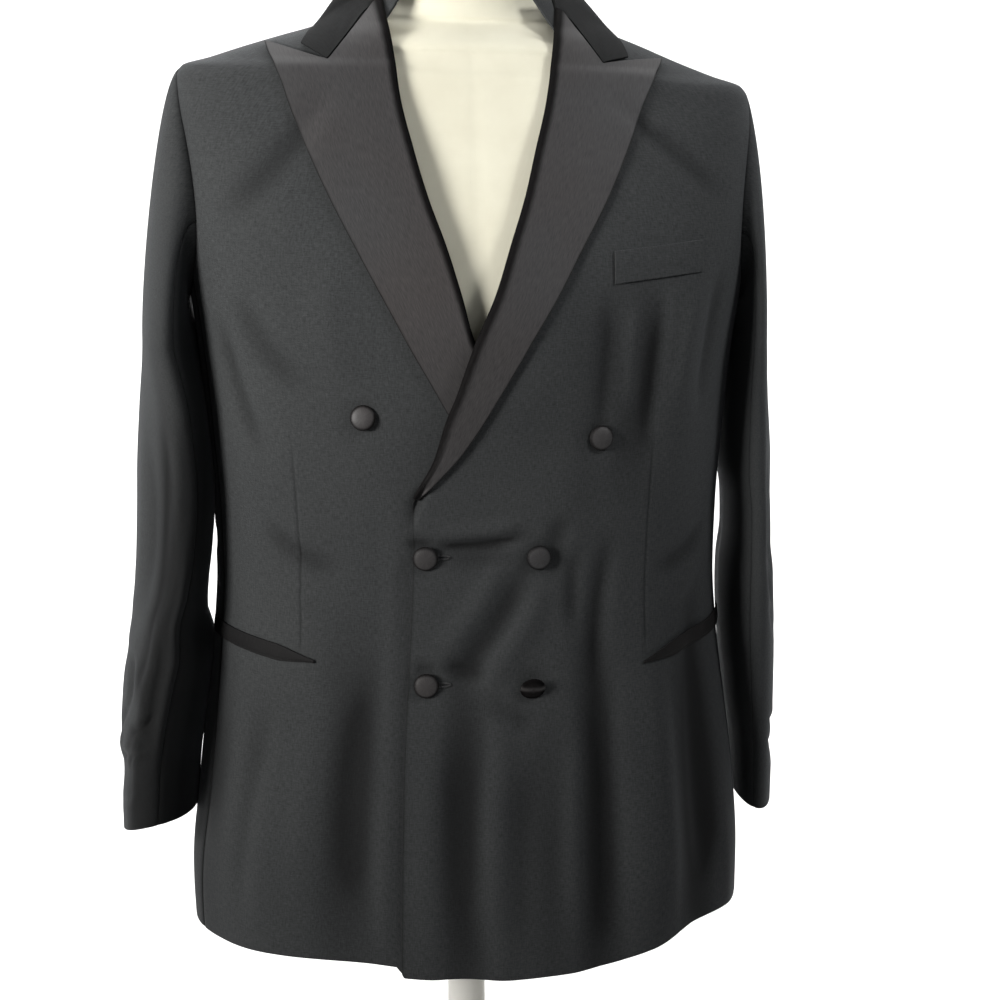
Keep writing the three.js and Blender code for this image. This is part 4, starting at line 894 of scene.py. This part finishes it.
def lapelCloth(side):
    shape = lapelShape[side]
    (notchAcross, notchUp), (tipAcross, tipUp) = shape["notch"], shape["tip"]
    share = closeEnds(np.linspace(0, 1, lapel["rows"]), lapel["thick"], lapel["long"])
    share = 1 - (1 - share) ** lapel["crowd"]
    rollUp = lerp(shape["low"][0], shape["rollTop"], share)
    edgeUp = lerp(shape["low"][1], tipUp, share)
    rollAcross = column(rollLine[side], "up", "across", rollUp)
    edgeAcross = column(lapelEdge[side], "up", "across", edgeUp)
    width = np.hypot(edgeAcross - rollAcross, edgeUp - rollUp)[:, None]
    small = np.minimum(1, width / lapel["fullWidth"])
    reach = np.array(lapel["beyond"])[None, :]
    beyond = np.where(reach < 0, np.minimum(reach * small, -lapel["leastBeyond"]), reach * small)
    shares = np.concatenate([beyond / width, np.broadcast_to(lapel["shares"], (len(share), 5))], 1)
    settle = np.clip((shares * width - lapel["rollSpan"] * small) / lapel["settle"], 0, 1)
    lifts = np.where(np.arange(10)[None, :] < 5, np.concatenate([lapel["height"], [0] * 5])[None, :],
                     lerp(lapel["rollLift"], lapel["lift"], settle)) * lerp(lapel["leastLift"], 1, small)
    t = np.concatenate([np.linspace(0, 4, lapel["rollColumns"]), np.linspace(4, 9, lapel["flatColumns"])[1:]])
    t = closeEnds(t, lapel["thick"], lapel["columnStep"])
    place, lift = throughNodes(shares, t), throughNodes(lifts, t)
    place[:, -1] = shares[:, -1]
    at = lapel["notchShare"]
    dip = np.where(place < at, place / at, (1 - place) / (1 - at))
    bend = np.clip((share - lapel["bendFrom"]) / (1 - lapel["bendFrom"]), 0, 1) ** lapel["bendEase"]
    bend = dip * bend[:, None]
    rollTopAcross = column(rollLine[side], "up", "across", shape["rollTop"])
    across = lerp(rollAcross[:, None], edgeAcross[:, None], place)
    across = across + bend * (notchAcross - lerp(rollTopAcross, tipAcross, at))
    up = lerp(rollUp[:, None], edgeUp[:, None], place)
    up = up + bend * (notchUp - lerp(shape["rollTop"], tipUp, at))
    if side > 0:
        lift = lift + lapLift(across, up)
    fromRoll, fromEdge = place * width, (1 - place) * width
    fromTop = np.linspace(1, 0, len(share))[:, None] * lapel["long"]
    shade = lapelPaintedShade["roll"] * (1 - smoothStep(fromRoll, *lapelPaintedShade["rollReach"]))
    shade = shade + lapelPaintedShade["edge"] * np.exp(-(fromEdge / lapelPaintedShade["edgeSoft"]) ** 2)
    shade = shade + lapelPaintedShade["top"] * np.exp(-(fromTop / lapelPaintedShade["topSoft"]) ** 2)
    word = sideWord(side)
    clothPiece("satin_lapel_" + word, frontPoint(side * across, up, lift), np.stack([fromRoll, up], -1),
               lapel["thick"], lapelSatin, ["lapel_" + word], shade)


# Collar: up its stand, over the fold, and down the fall to the edge that lies on the shoulders.
collarRows = {
    1: {
        "turn": [57, 64, 72, 90, 115, 145, 180],
        "footOut": [74, 74, 74, 75, 76, 77, 77.5], "footUp": [755, 764, 772, 772, 772, 772, 772],
        "foldOut": [83, 78, 74, 71, 71, 72, 73], "foldUp": [762.5, 772, 781, 794, 803, 809, 812],
        "bulge": [3, 3, 4, 4, 3, 3, 3],
        "edgeTurn": [61, 64.2, 69, 83, 115, 145, 180], "edgeUp": [724, 731, 738, 747, 752, 755, 757],
    },
    -1: {
        "turn": [62, 67, 74, 90, 115, 145, 180],
        "footOut": [73, 73, 74, 75, 76, 77, 77.5], "footUp": [761, 768, 772, 772, 772, 772, 772],
        "foldOut": [79, 76, 73, 71, 71, 72, 73], "foldUp": [764.5, 773, 782, 794, 803, 809, 812],
        "bulge": [3, 11.5, 12.5, 7, 3, 3, 3],
        "edgeTurn": [65.7, 68.6, 73, 85, 115, 145, 180], "edgeUp": [727, 733, 739, 747, 752, 755, 757],
    },
}
collar = {"thick": 1.6, "foldHalf": 2.5, "foldRound": 2.4, "shareAtNotch": 0.62, "fallEnd": 84, "notchEnd": 72,
          "reach": 70, "liftRoll": 4.9, "liftEdge": 3.6, "gorgeGap": (0.6, 1.3), "notchGap": (0.4, 0.6),
          "falls": [0.12, 0.28, 0.44, 0.56, 0.62, 0.68, 0.8, 0.9, 1.0], "columns": 220, "halfLong": 190,
          "crowd": 0.9, "rows": 74, "rowStep": 9, "flatHalf": 210}


def polar(turn, out, height):
    return np.stack([out * np.sin(np.radians(turn)), -out * np.cos(np.radians(turn)), height], -1)


# Front of the fall, laid on the body between the roll line and the fall's corner, through the notch.
def gorgeSide(side, cornerTurn, cornerUp, notchFade, share):
    shape = lapelShape[side]
    rollAcross = column(rollLine[side], "up", "across", shape["rollTop"]) + collar["gorgeGap"][0]
    rollUp = shape["rollTop"] + collar["gorgeGap"][1]
    cornerAcross = np.abs(bodySmooth(side * cornerTurn, cornerUp)[..., 0])
    at = collar["shareAtNotch"]
    bend = (share / at if share < at else (1 - share) / (1 - at)) * notchFade
    across = lerp(rollAcross, cornerAcross, share)
    across = across + bend * (shape["notch"][0] + collar["notchGap"][0] - lerp(rollAcross, cornerAcross, at))
    up = lerp(rollUp, cornerUp, share)
    up = up + bend * (shape["notch"][1] + collar["notchGap"][1] - lerp(rollUp, cornerUp, at))
    return frontPoint(side * across, up, lerp(collar["liftRoll"], collar["liftEdge"], share))


def collarNodes(side, turn):
    rows = collarRows[side]
    value = {n: column(rows, "turn", n, turn) for n in rows if n != "turn"}
    foot = body["hemHeight"] - body["shoulderDrop"] * collar["reach"] * np.sin(np.radians(turn)) * side
    foldHeight = foot + value["foldUp"]
    mirror = np.array([side, 1, 1])
    seam = polar(turn, value["footOut"], foot + value["footUp"])
    inner = polar(turn, value["foldOut"] - collar["foldHalf"], foldHeight - collar["foldRound"])
    top = polar(turn, value["foldOut"], foldHeight)
    outer = polar(turn, value["foldOut"] + collar["foldHalf"], foldHeight - collar["foldRound"])
    nodes = [n * mirror for n in (seam, lerp(seam, inner, 0.5), inner, top, outer)]
    edge = bodyPoint(side * value["edgeTurn"], value["edgeUp"], collar["liftEdge"])
    start = rows["turn"][0]
    keep = (1 - smoothStep(turn, start, collar["fallEnd"]))[:, None]
    notchFade = 1 - smoothStep(turn, start, collar["notchEnd"])
    for share in collar["falls"]:
        chord = lerp(outer * mirror, edge, share)
        chord[:, 2] += value["bulge"] * math.sin(math.pi * share)
        laid = gorgeSide(side, value["edgeTurn"], value["edgeUp"], notchFade, share)
        nodes.append(lerp(chord, laid, keep))
    return np.stack(nodes, 1)


def collarCloth():
    away = closeEnds(np.linspace(-1, 1, collar["columns"]), collar["thick"], collar["halfLong"])
    start = np.where(away < 0, collarRows[1]["turn"][0], collarRows[-1]["turn"][0])
    turn = lerp(180, start, np.abs(away) ** collar["crowd"])
    nodes = np.where((away < 0)[:, None, None], collarNodes(1, turn), collarNodes(-1, turn))
    t = closeEnds(np.linspace(0, nodes.shape[1] - 1, collar["rows"]), collar["thick"], collar["rowStep"])
    middle = throughNodes(nodes, t)
    step = np.linalg.norm(np.diff(middle, axis=1), axis=-1)
    down = np.concatenate([np.zeros((len(away), 1)), np.cumsum(step, 1)], 1)
    flat = np.stack([np.broadcast_to((away * collar["flatHalf"])[:, None], down.shape), down], -1)
    clothPiece("wool_collar", middle, flat, collar["thick"], shadedCollarWool, ["collar"])


lapelCloth(1)
lapelCloth(-1)
collarCloth()
print("lapels and collar made")

# Applied strips: hip pocket jets in satin and the breast welt in the body's wool.
trim = {"thick": 1.2, "gap": 0.75, "jetTall": 13.5, "jetLong": 112, "jetTurn": (46, 82), "jetLeft": (248, 266),
        "jetRight": (255, 266), "jetColumns": 70, "jetRows": 14, "jetPoint": 0.16, "pointReach": (-0.04, 0.3),
        "crown": 0.35, "stitch": 0.3, "stitchShare": 0.12, "stitchWide": 0.07}
welt = {"across": (103, 175), "low": 553, "rise": 9, "tall": 25, "long": 75, "columns": 40, "rows": 24,
        "crown": 0.3, "stitch": 0.25, "stitchIn": 2.5, "stitchWide": 1.0}


def stripCloth(name, turn, up, crown, material, node):
    out = body["wool"] / 2 + trim["gap"] + trim["thick"] / 2
    clothPiece(name, bodyPoint(turn, up, out + crown), flatPlace(turn, up), trim["thick"],
               material, [node])


# Shares along and up a strip.
def stripGrid(columnCount, long, rowCount, tall):
    along = closeEnds(np.linspace(0, 1, columnCount), trim["thick"], long)[None, :]
    rise = closeEnds(np.linspace(0, 1, rowCount), trim["thick"], tall)[:, None]
    return np.broadcast_arrays(along, rise)


def pocketJet(side):
    low, high = trim["jetLeft"] if side > 0 else trim["jetRight"]
    along, rise = stripGrid(trim["jetColumns"], trim["jetLong"], trim["jetRows"], trim["jetTall"])
    tall = trim["jetTall"] * lerp(trim["jetPoint"], 1, smoothStep(along, *trim["pointReach"]))
    up = lerp(low, high, np.sin(along * np.pi / 2)) + tall * (rise - 0.5)
    turn = side * lerp(*trim["jetTurn"], along)
    stitch = np.exp(-((rise - trim["stitchShare"]) / trim["stitchWide"]) ** 2)
    crown = trim["crown"] * np.sin(np.pi * rise) - trim["stitch"] * stitch
    word = sideWord(side)
    stripCloth("satin_jet_" + word, turn, up, crown, shadedJetSatin, "pocket_jet_" + word)


def breastWelt():
    along, rise = stripGrid(welt["columns"], welt["long"], welt["rows"], welt["tall"])
    up = welt["low"] + welt["rise"] * along + welt["tall"] * rise
    turn = turnAt(lerp(*welt["across"], along), up)
    edge = np.minimum(along, 1 - along) * welt["long"]
    stitch = np.exp(-((edge - welt["stitchIn"]) / welt["stitchWide"]) ** 2)
    crown = welt["crown"] * np.sin(np.pi * rise) - welt["stitch"] * stitch
    stripCloth("wool_welt", turn, up, crown, wool, "breast_welt")


pocketJet(1)
pocketJet(-1)
breastWelt()
print("pockets made")


# Point numbers of rings, the first of each repeated at its end.
def ringIndex(rows, sides):
    index = np.arange(rows * sides).reshape(rows, sides)
    return np.concatenate([index, index[:, :1]], 1)


# A closed solid through rings, with a fan on each end about the ring's middle.
def ringPiece(name, rings, flat, flatEnds, material, nodes, shade=None):
    rows, sides = rings.shape[:2]
    index = ringIndex(rows, sides)
    first, last = index[0], index[-1]
    fans = np.concatenate([
        np.stack([np.full(sides, rows * sides), first[1:], first[:-1]], -1),
        np.stack([np.full(sides, rows * sides + 1), last[:-1], last[1:]], -1)])
    points = np.concatenate([rings.reshape(-1, 3), rings[[0, -1]].mean(1)])
    flat = np.concatenate([flat.reshape(-1, 2), flatEnds])
    newPiece(name, points, outward(points, [gridFaces(index), fans]), flat, material, nodes, shade)


# A profile of radii and heights turned about an axis: each point is foot + axis * height + side * radius.
def turned(name, radius, height, foot, axis, sides, material, nodes, wobble=None, shade=None):
    axis = np.asarray(axis, float) / np.linalg.norm(axis)
    helper = np.array([0, 0, 1.0]) if abs(axis[2]) < 0.9 else np.array([0, 1.0, 0])
    sideX = unit(np.cross(helper, axis))
    sideY = np.cross(axis, sideX)
    angle = np.linspace(0, 2 * np.pi, sides, endpoint=False)
    ring = sideX * np.cos(angle)[:, None] + sideY * np.sin(angle)[:, None]
    radius, height = np.asarray(radius, float), np.asarray(height, float)
    swell = np.ones((len(radius), sides)) if wobble is None else wobble(radius[:, None], angle[None, :])
    rings = foot + ring[None] * (radius[:, None] * swell)[..., None] + axis * height[:, None, None]
    flat = np.stack([np.tile(angle * radius.max(), len(radius)), np.repeat(height + radius, sides)], -1)
    if shade is not None:
        shade = np.concatenate([shade.ravel(), shade[[0, -1]].mean(1)])
    ringPiece(name, rings, flat, [[0, height[0]], [0, height[-1]]], material, nodes, shade)


# Covered buttons: a flat back, a rolled rim and a low dome, with the cover's gathers fanned at the back.
# The rim and the back get painted shade; the button that hangs turned is painted dark but for a painted
# highlight across it.
button = {"radius": 10, "rim": 2.4, "rimTall": 1.1, "rimFoot": 1.25, "dome": 3.1, "domeRound": 0.82,
          "seat": 0.4, "sides": 88, "backRadius": [3.4, 3.1, 3.4], "backHeight": [0, 0.6, 1.2],
          "hang": 0.62, "hangFrom": 0.15, "pleats": 22, "pleatDeep": 0.012, "pleatFrom": 8,
          "rimDark": 0.85, "rimReach": (7.2, 9.4), "backDark": 0.15, "turnedFrom": 20, "turnedDark": 0.9,
          "highlight": 0.85, "highlightAt": 1.5, "highlightWide": 1.7}
buttonPlaces = [
    # node, across, up, on the lap, tilt about the level axis in degrees
    ("button_upper_right", -91.0, 450.0, False, -12), ("button_upper_left", 93.0, 433.0, True, -5),
    ("button_middle_right", -44.0, 341.0, True, 6), ("button_middle_left", 44.0, 340.0, True, 3),
    ("button_lower_right", -44.0, 239.0, True, 5), ("button_lower_left", 39.0, 236.0, True, 30),
]


def pleats(radius, angle):
    return 1 + button["pleatDeep"] * np.cos(button["pleats"] * angle) * (radius > button["pleatFrom"])


def roundButton(node, across, up, onLap, tilt):
    size, rim, sides = button["radius"], button["rim"], button["sides"]
    arc = np.linspace(0, np.pi / 2, 9)
    lower = np.linspace(-np.pi / 2, 0, 6)
    radius = np.concatenate([
        button["backRadius"], size - 1 + np.cos(lower), size * np.cos(arc)[1:-1] ** button["domeRound"]])
    rise = np.sin(arc)[1:-1]
    height = np.concatenate([
        button["backHeight"], rim + button["rimTall"] * np.sin(lower), rim + button["dome"] * rise])
    height[3] = button["rimFoot"]
    lap = float(lapLift(across, up)) if onLap else 0.0
    foot = frontPoint(across, up, body["wool"] / 2 + button["seat"] + lap)
    axis = bodyNormal(turnAt(across, up), up)
    a = math.radians(tilt)
    foot = foot + axis * size * button["hang"] * max(0.0, math.sin(a) - button["hangFrom"])
    axis = axis * math.cos(a) - np.array([0, 0, 1.0]) * math.sin(a)
    buttonShade = button["rimDark"] * smoothStep(radius, *button["rimReach"]) + button["backDark"] * (height < rim)
    buttonShade = buttonShade[:, None] * np.ones(sides)
    if tilt > button["turnedFrom"]:
        along = radius[:, None] * np.sin(np.linspace(0, 2 * np.pi, sides, endpoint=False))
        highlight = button["highlight"] * np.exp(-((along - button["highlightAt"]) / button["highlightWide"]) ** 2)
        buttonShade = np.clip(buttonShade + button["turnedDark"], 0, 1) - highlight * (height > rim)[:, None]
    turned("satin_" + node, radius, height, foot, axis, sides, buttonSatin, [node], pleats, buttonShade)


for place in buttonPlaces:
    roundButton(*place)
print("buttons made")

# Worked buttonholes of the left front, under the buttons nearest its edge: a rope of thread along a long
# loop, its radius rippling once for each stitch.
buttonHole = {"half": 11, "wide": 1.5, "rope": 0.75, "flatten": 0.6, "stitches": 46, "ripple": 0.22,
              "from": 36, "above": 0.25, "squareEnd": 0.6, "steps": 230, "strands": 8}


def workedHole(name, level):
    steps, strands = buttonHole["steps"], buttonHole["strands"]
    angle = np.linspace(0, 2 * np.pi, steps, endpoint=False)
    along = buttonHole["half"] * np.sign(np.cos(angle)) * np.abs(np.cos(angle)) ** buttonHole["squareEnd"]
    across, up = along - buttonHole["from"], level + buttonHole["wide"] * np.sin(angle)
    line = frontPoint(across, up, body["wool"] / 2 + buttonHole["above"] + lapLift(across, up))
    out = bodyNormal(turnAt(across, up), up)
    sideways = np.cross(unit(np.roll(line, -1, 0) - np.roll(line, 1, 0)), out)
    ring = np.linspace(0, 2 * np.pi, strands + 1)[:-1]
    size = buttonHole["rope"] * (1 + buttonHole["ripple"] * np.cos(buttonHole["stitches"] * angle))
    lying = sideways[:, None] * np.cos(ring)[None, :, None]
    rising = buttonHole["flatten"] * out[:, None] * np.sin(ring)[None, :, None]
    points = (line[:, None] + size[:, None, None] * (lying + rising)).reshape(-1, 3)
    index = ringIndex(steps, strands)
    faces = outward(points, [gridFaces(np.concatenate([index, index[:1]], 0))])
    flat = np.stack([np.repeat(angle * 8, strands), np.tile(ring, steps)], -1)
    newPiece(name, points, faces, flat, thread, [])


workedHole("thread_hole_middle", 341.0)
workedHole("thread_hole_lower", 239.0)

# Form inside the jacket: the body's sections drawn in, then a neck that rises through the collar.
form = {"inset": 8, "shoulderInset": 2.4, "shoulderUp": (640, 716), "hipInset": 10, "hipUp": (200, 400),
        "neckTop": 996, "sides": 144, "rows": 170, "flatPerDegree": 3.0, "seamDeep": 0.004, "seamWide": 1.1,
        "levels": [55, 60, 130, 200, 270, 330, 390, 450, 510, 560, 600, 640, 675, 693, 702, 709, 716, 725, 734],
        "neckLevels": [898, 905, 912, 920, 930, 945, 960, 980, 996]}
neckRows = {
    "height": [898, 912, 930, 960, 996], "half": [94, 68, 62, 59, 58], "front": [55, 52, 52, 53, 54],
    "back": [76, 66, 62, 58, 56],
}


def formRing(turn, level):
    inset = lerp(form["inset"], form["shoulderInset"], smoothStep(level, *form["shoulderUp"]))
    inset = inset + form["hipInset"] * (1 - smoothStep(level, *form["hipUp"]))
    return bodySmooth(turn, float(level)) - bodyNormal(turn, float(level)) * inset


# An oval of one half width, with its own depth before and behind.
def ovalPlace(turn, half, forward, back):
    sine, cosine = np.sin(np.radians(turn)), np.cos(np.radians(turn))
    return half * sine, -np.where(cosine > 0, forward, back) * cosine


def neckRing(turn, height):
    x, y = ovalPlace(turn, *columns(neckRows, "height", ("half", "front", "back"), height))
    return np.stack([x, y, height - body["shoulderDrop"] * x], -1)


def formBody():
    turn = np.arange(form["sides"]) * 360 / form["sides"]
    rings = [formRing(turn, level) for level in form["levels"]]
    rings = np.stack(rings + [neckRing(turn, height) for height in form["neckLevels"]], 1)
    fine = throughNodes(rings, np.linspace(0, rings.shape[1] - 1, form["rows"])).transpose(1, 0, 2)
    across = [(((turn - s + 180) % 360) - 180) * form["flatPerDegree"] for s in (0, 180)]
    seams = sum(np.exp(-(a / form["seamWide"]) ** 2) for a in across)
    fine = fine * (1 - form["seamDeep"] * seams[None, :, None] * np.array([1, 1, 0]))
    flat = np.stack([np.broadcast_to(turn * form["flatPerDegree"], fine.shape[:2]), fine[..., 2]], -1)
    ringPiece("form_cover", fine, flat, flat[[0, -1]].mean(1), jersey, ["form_torso"])


# Cap of the neck: rings that narrow by share of the oval while they rise by lift of the height.
cap = {"half": 58, "front": 54, "back": 56, "gap": 2.2, "height": 9, "sides": 96, "lip": 0.09}


def neckCap():
    arc = np.linspace(0, np.pi / 2, 16)[:-1]
    share = np.concatenate([[0.985, 1.0], np.cos(arc) ** 0.5 * 0.999])
    lift = np.concatenate([[0, 0.05], cap["lip"] + (1 - cap["lip"]) * np.sin(arc) ** 1.2])
    turn = np.arange(cap["sides"]) * 360 / cap["sides"]
    base = np.stack(ovalPlace(turn, cap["half"], cap["front"], cap["back"]), -1)
    foot = form["neckTop"] + cap["gap"]
    rings = np.stack([
        np.concatenate([base * s, np.full((cap["sides"], 1), foot + cap["height"] * h)], 1)
        for s, h in zip(share, lift)])
    flat = rings[..., :2]
    ringPiece("form_cap_cover", rings, flat, flat[[0, -1]].mean(1), jersey, ["form_neck_cap"])


# Pole, and a round plate with a rounded edge and a low crown.
stand = {"pole": 16, "poleTop": 204.5, "poleGap": 0.3, "poleSides": 72, "plate": 150, "plateEdge": 3,
         "plateSide": 6, "plateThick": 12, "plateSides": 128}


def standPieces():
    low, top = stand["plateThick"] + stand["poleGap"], stand["poleTop"]
    origin, upward = np.zeros(3), (0, 0, 1)
    turned("pole_tube", [stand["pole"]] * 4, [low, low + 1, top - 1, top], origin, upward, stand["poleSides"],
           paint, ["stand_pole"])
    arc = np.linspace(0, np.pi / 2, 7)
    size, edge = stand["plate"], stand["plateEdge"]
    radius = np.concatenate([[size - 1, size], size - edge + edge * np.cos(arc), [120, 60, 30]])
    rise = stand["plateSide"] + edge * np.sin(arc)
    height = np.concatenate([[0, 1], rise, [10.2, 11.9, stand["plateThick"]]])
    turned("base_plate", radius, height, origin, upward, stand["plateSides"],
           paint, ["stand_base"])


formBody()
neckCap()
standPieces()
print("form and stand made")

# Stage: a pale floor that sweeps up into a backdrop, and soft lights.
stage = {"half": 6.0, "back": 2.6, "rise": 5.0, "bend": 1.2, "grey": (0.45,) * 3, "white": (0.93,) * 3}


def makeStage():
    arc = np.linspace(0, np.pi / 2, 17)
    wall = stage["back"] + stage["bend"]
    y = np.concatenate([[-stage["half"]], stage["back"] + stage["bend"] * np.sin(arc), [wall]])
    z = np.concatenate([[0], stage["bend"] * (1 - np.cos(arc)), [stage["rise"]]])
    points = np.array([[x, a, b] for a, b in zip(y, z) for x in (-stage["half"], stage["half"])])
    faces = [(2 * k, 2 * k + 1, 2 * k + 3, 2 * k + 2) for k in range(len(y) - 1)]
    mesh = bpy.data.meshes.new("studio sweep")
    mesh.from_pydata(points.tolist(), [], faces)
    mesh.polygons.foreach_set("use_smooth", [True] * len(faces))
    kit = NodeKit("studio paper")
    split = kit.add("ShaderNodeSeparateXYZ")
    kit.link(kit.objectMap(), split.inputs[0])
    back = kit.math("ADD", split.outputs[1], 0.5, True)
    kit.link(kit.ramp(back, 0.0, 0.6, stage["grey"], stage["white"]), kit.shader.inputs["Base Color"])
    socket(kit.shader, "Roughness", 0.9)
    mesh.materials.append(kit.material)
    sweep = bpy.data.objects.new("studio sweep", mesh)
    bpy.context.scene.collection.objects.link(sweep)


# Places a lamp or camera and turns it to its aim.
def pointAt(thing, place, aim):
    direction = Vector(aim) - Vector(place)
    thing.location = place
    thing.rotation_euler = direction.to_track_quat("-Z", "Y").to_euler()
    bpy.context.scene.collection.objects.link(thing)


lights = [
    # name, place, aim, size, power in watts, colour, spread in degrees
    ("window", (-1.72, -1.1, 1.0), (-0.05, 0, 0.88), (0.7, 0.7), 12.2, (1, 0.985, 0.96), 70),
    ("fill", (0.9, -2.6, 1.3), (0, 0, 0.85), (1.2, 1.2), 1.8, (0.93, 0.96, 1), 110),
    ("top", (1.3, -0.8, 1.7), (0.26, 0, 0.78), (0.5, 0.5), 1.6, (1, 1, 1), 44),
    ("sweep light", (0, 0.9, 2.9), (0, 2.8, 1.0), (3, 1), 190, (1, 1, 1), 180),
]


def areaLight(name, place, aim, size, power, colour, spread):
    data = bpy.data.lights.new(name, "AREA")
    data.shape = "RECTANGLE"
    data.size, data.size_y = size
    data.energy, data.color, data.spread = power, colour, math.radians(spread)
    pointAt(bpy.data.objects.new(name, data), place, aim)


camera = {"place": (-0.1661, -1.8611, 0.8547), "aim": (0.0292, -0.0031, 0.5085), "lens": 81.4, "sensor": 36}


def makeCamera():
    data = bpy.data.cameras.new("camera")
    data.lens, data.sensor_width = camera["lens"], camera["sensor"]
    view = bpy.data.objects.new("camera", data)
    pointAt(view, camera["place"], camera["aim"])
    bpy.context.scene.camera = view


makeStage()
makeCamera()
for light in lights:
    areaLight(*light)
world = bpy.data.worlds.new("soft room")
world.use_nodes = True
socket(world.node_tree.nodes["Background"], "Color", (1, 1, 1, 1))
socket(world.node_tree.nodes["Background"], "Strength", 0.1)
bpy.context.scene.world = world
bpy.context.scene.view_settings.view_transform = "Standard"
print("stage made")
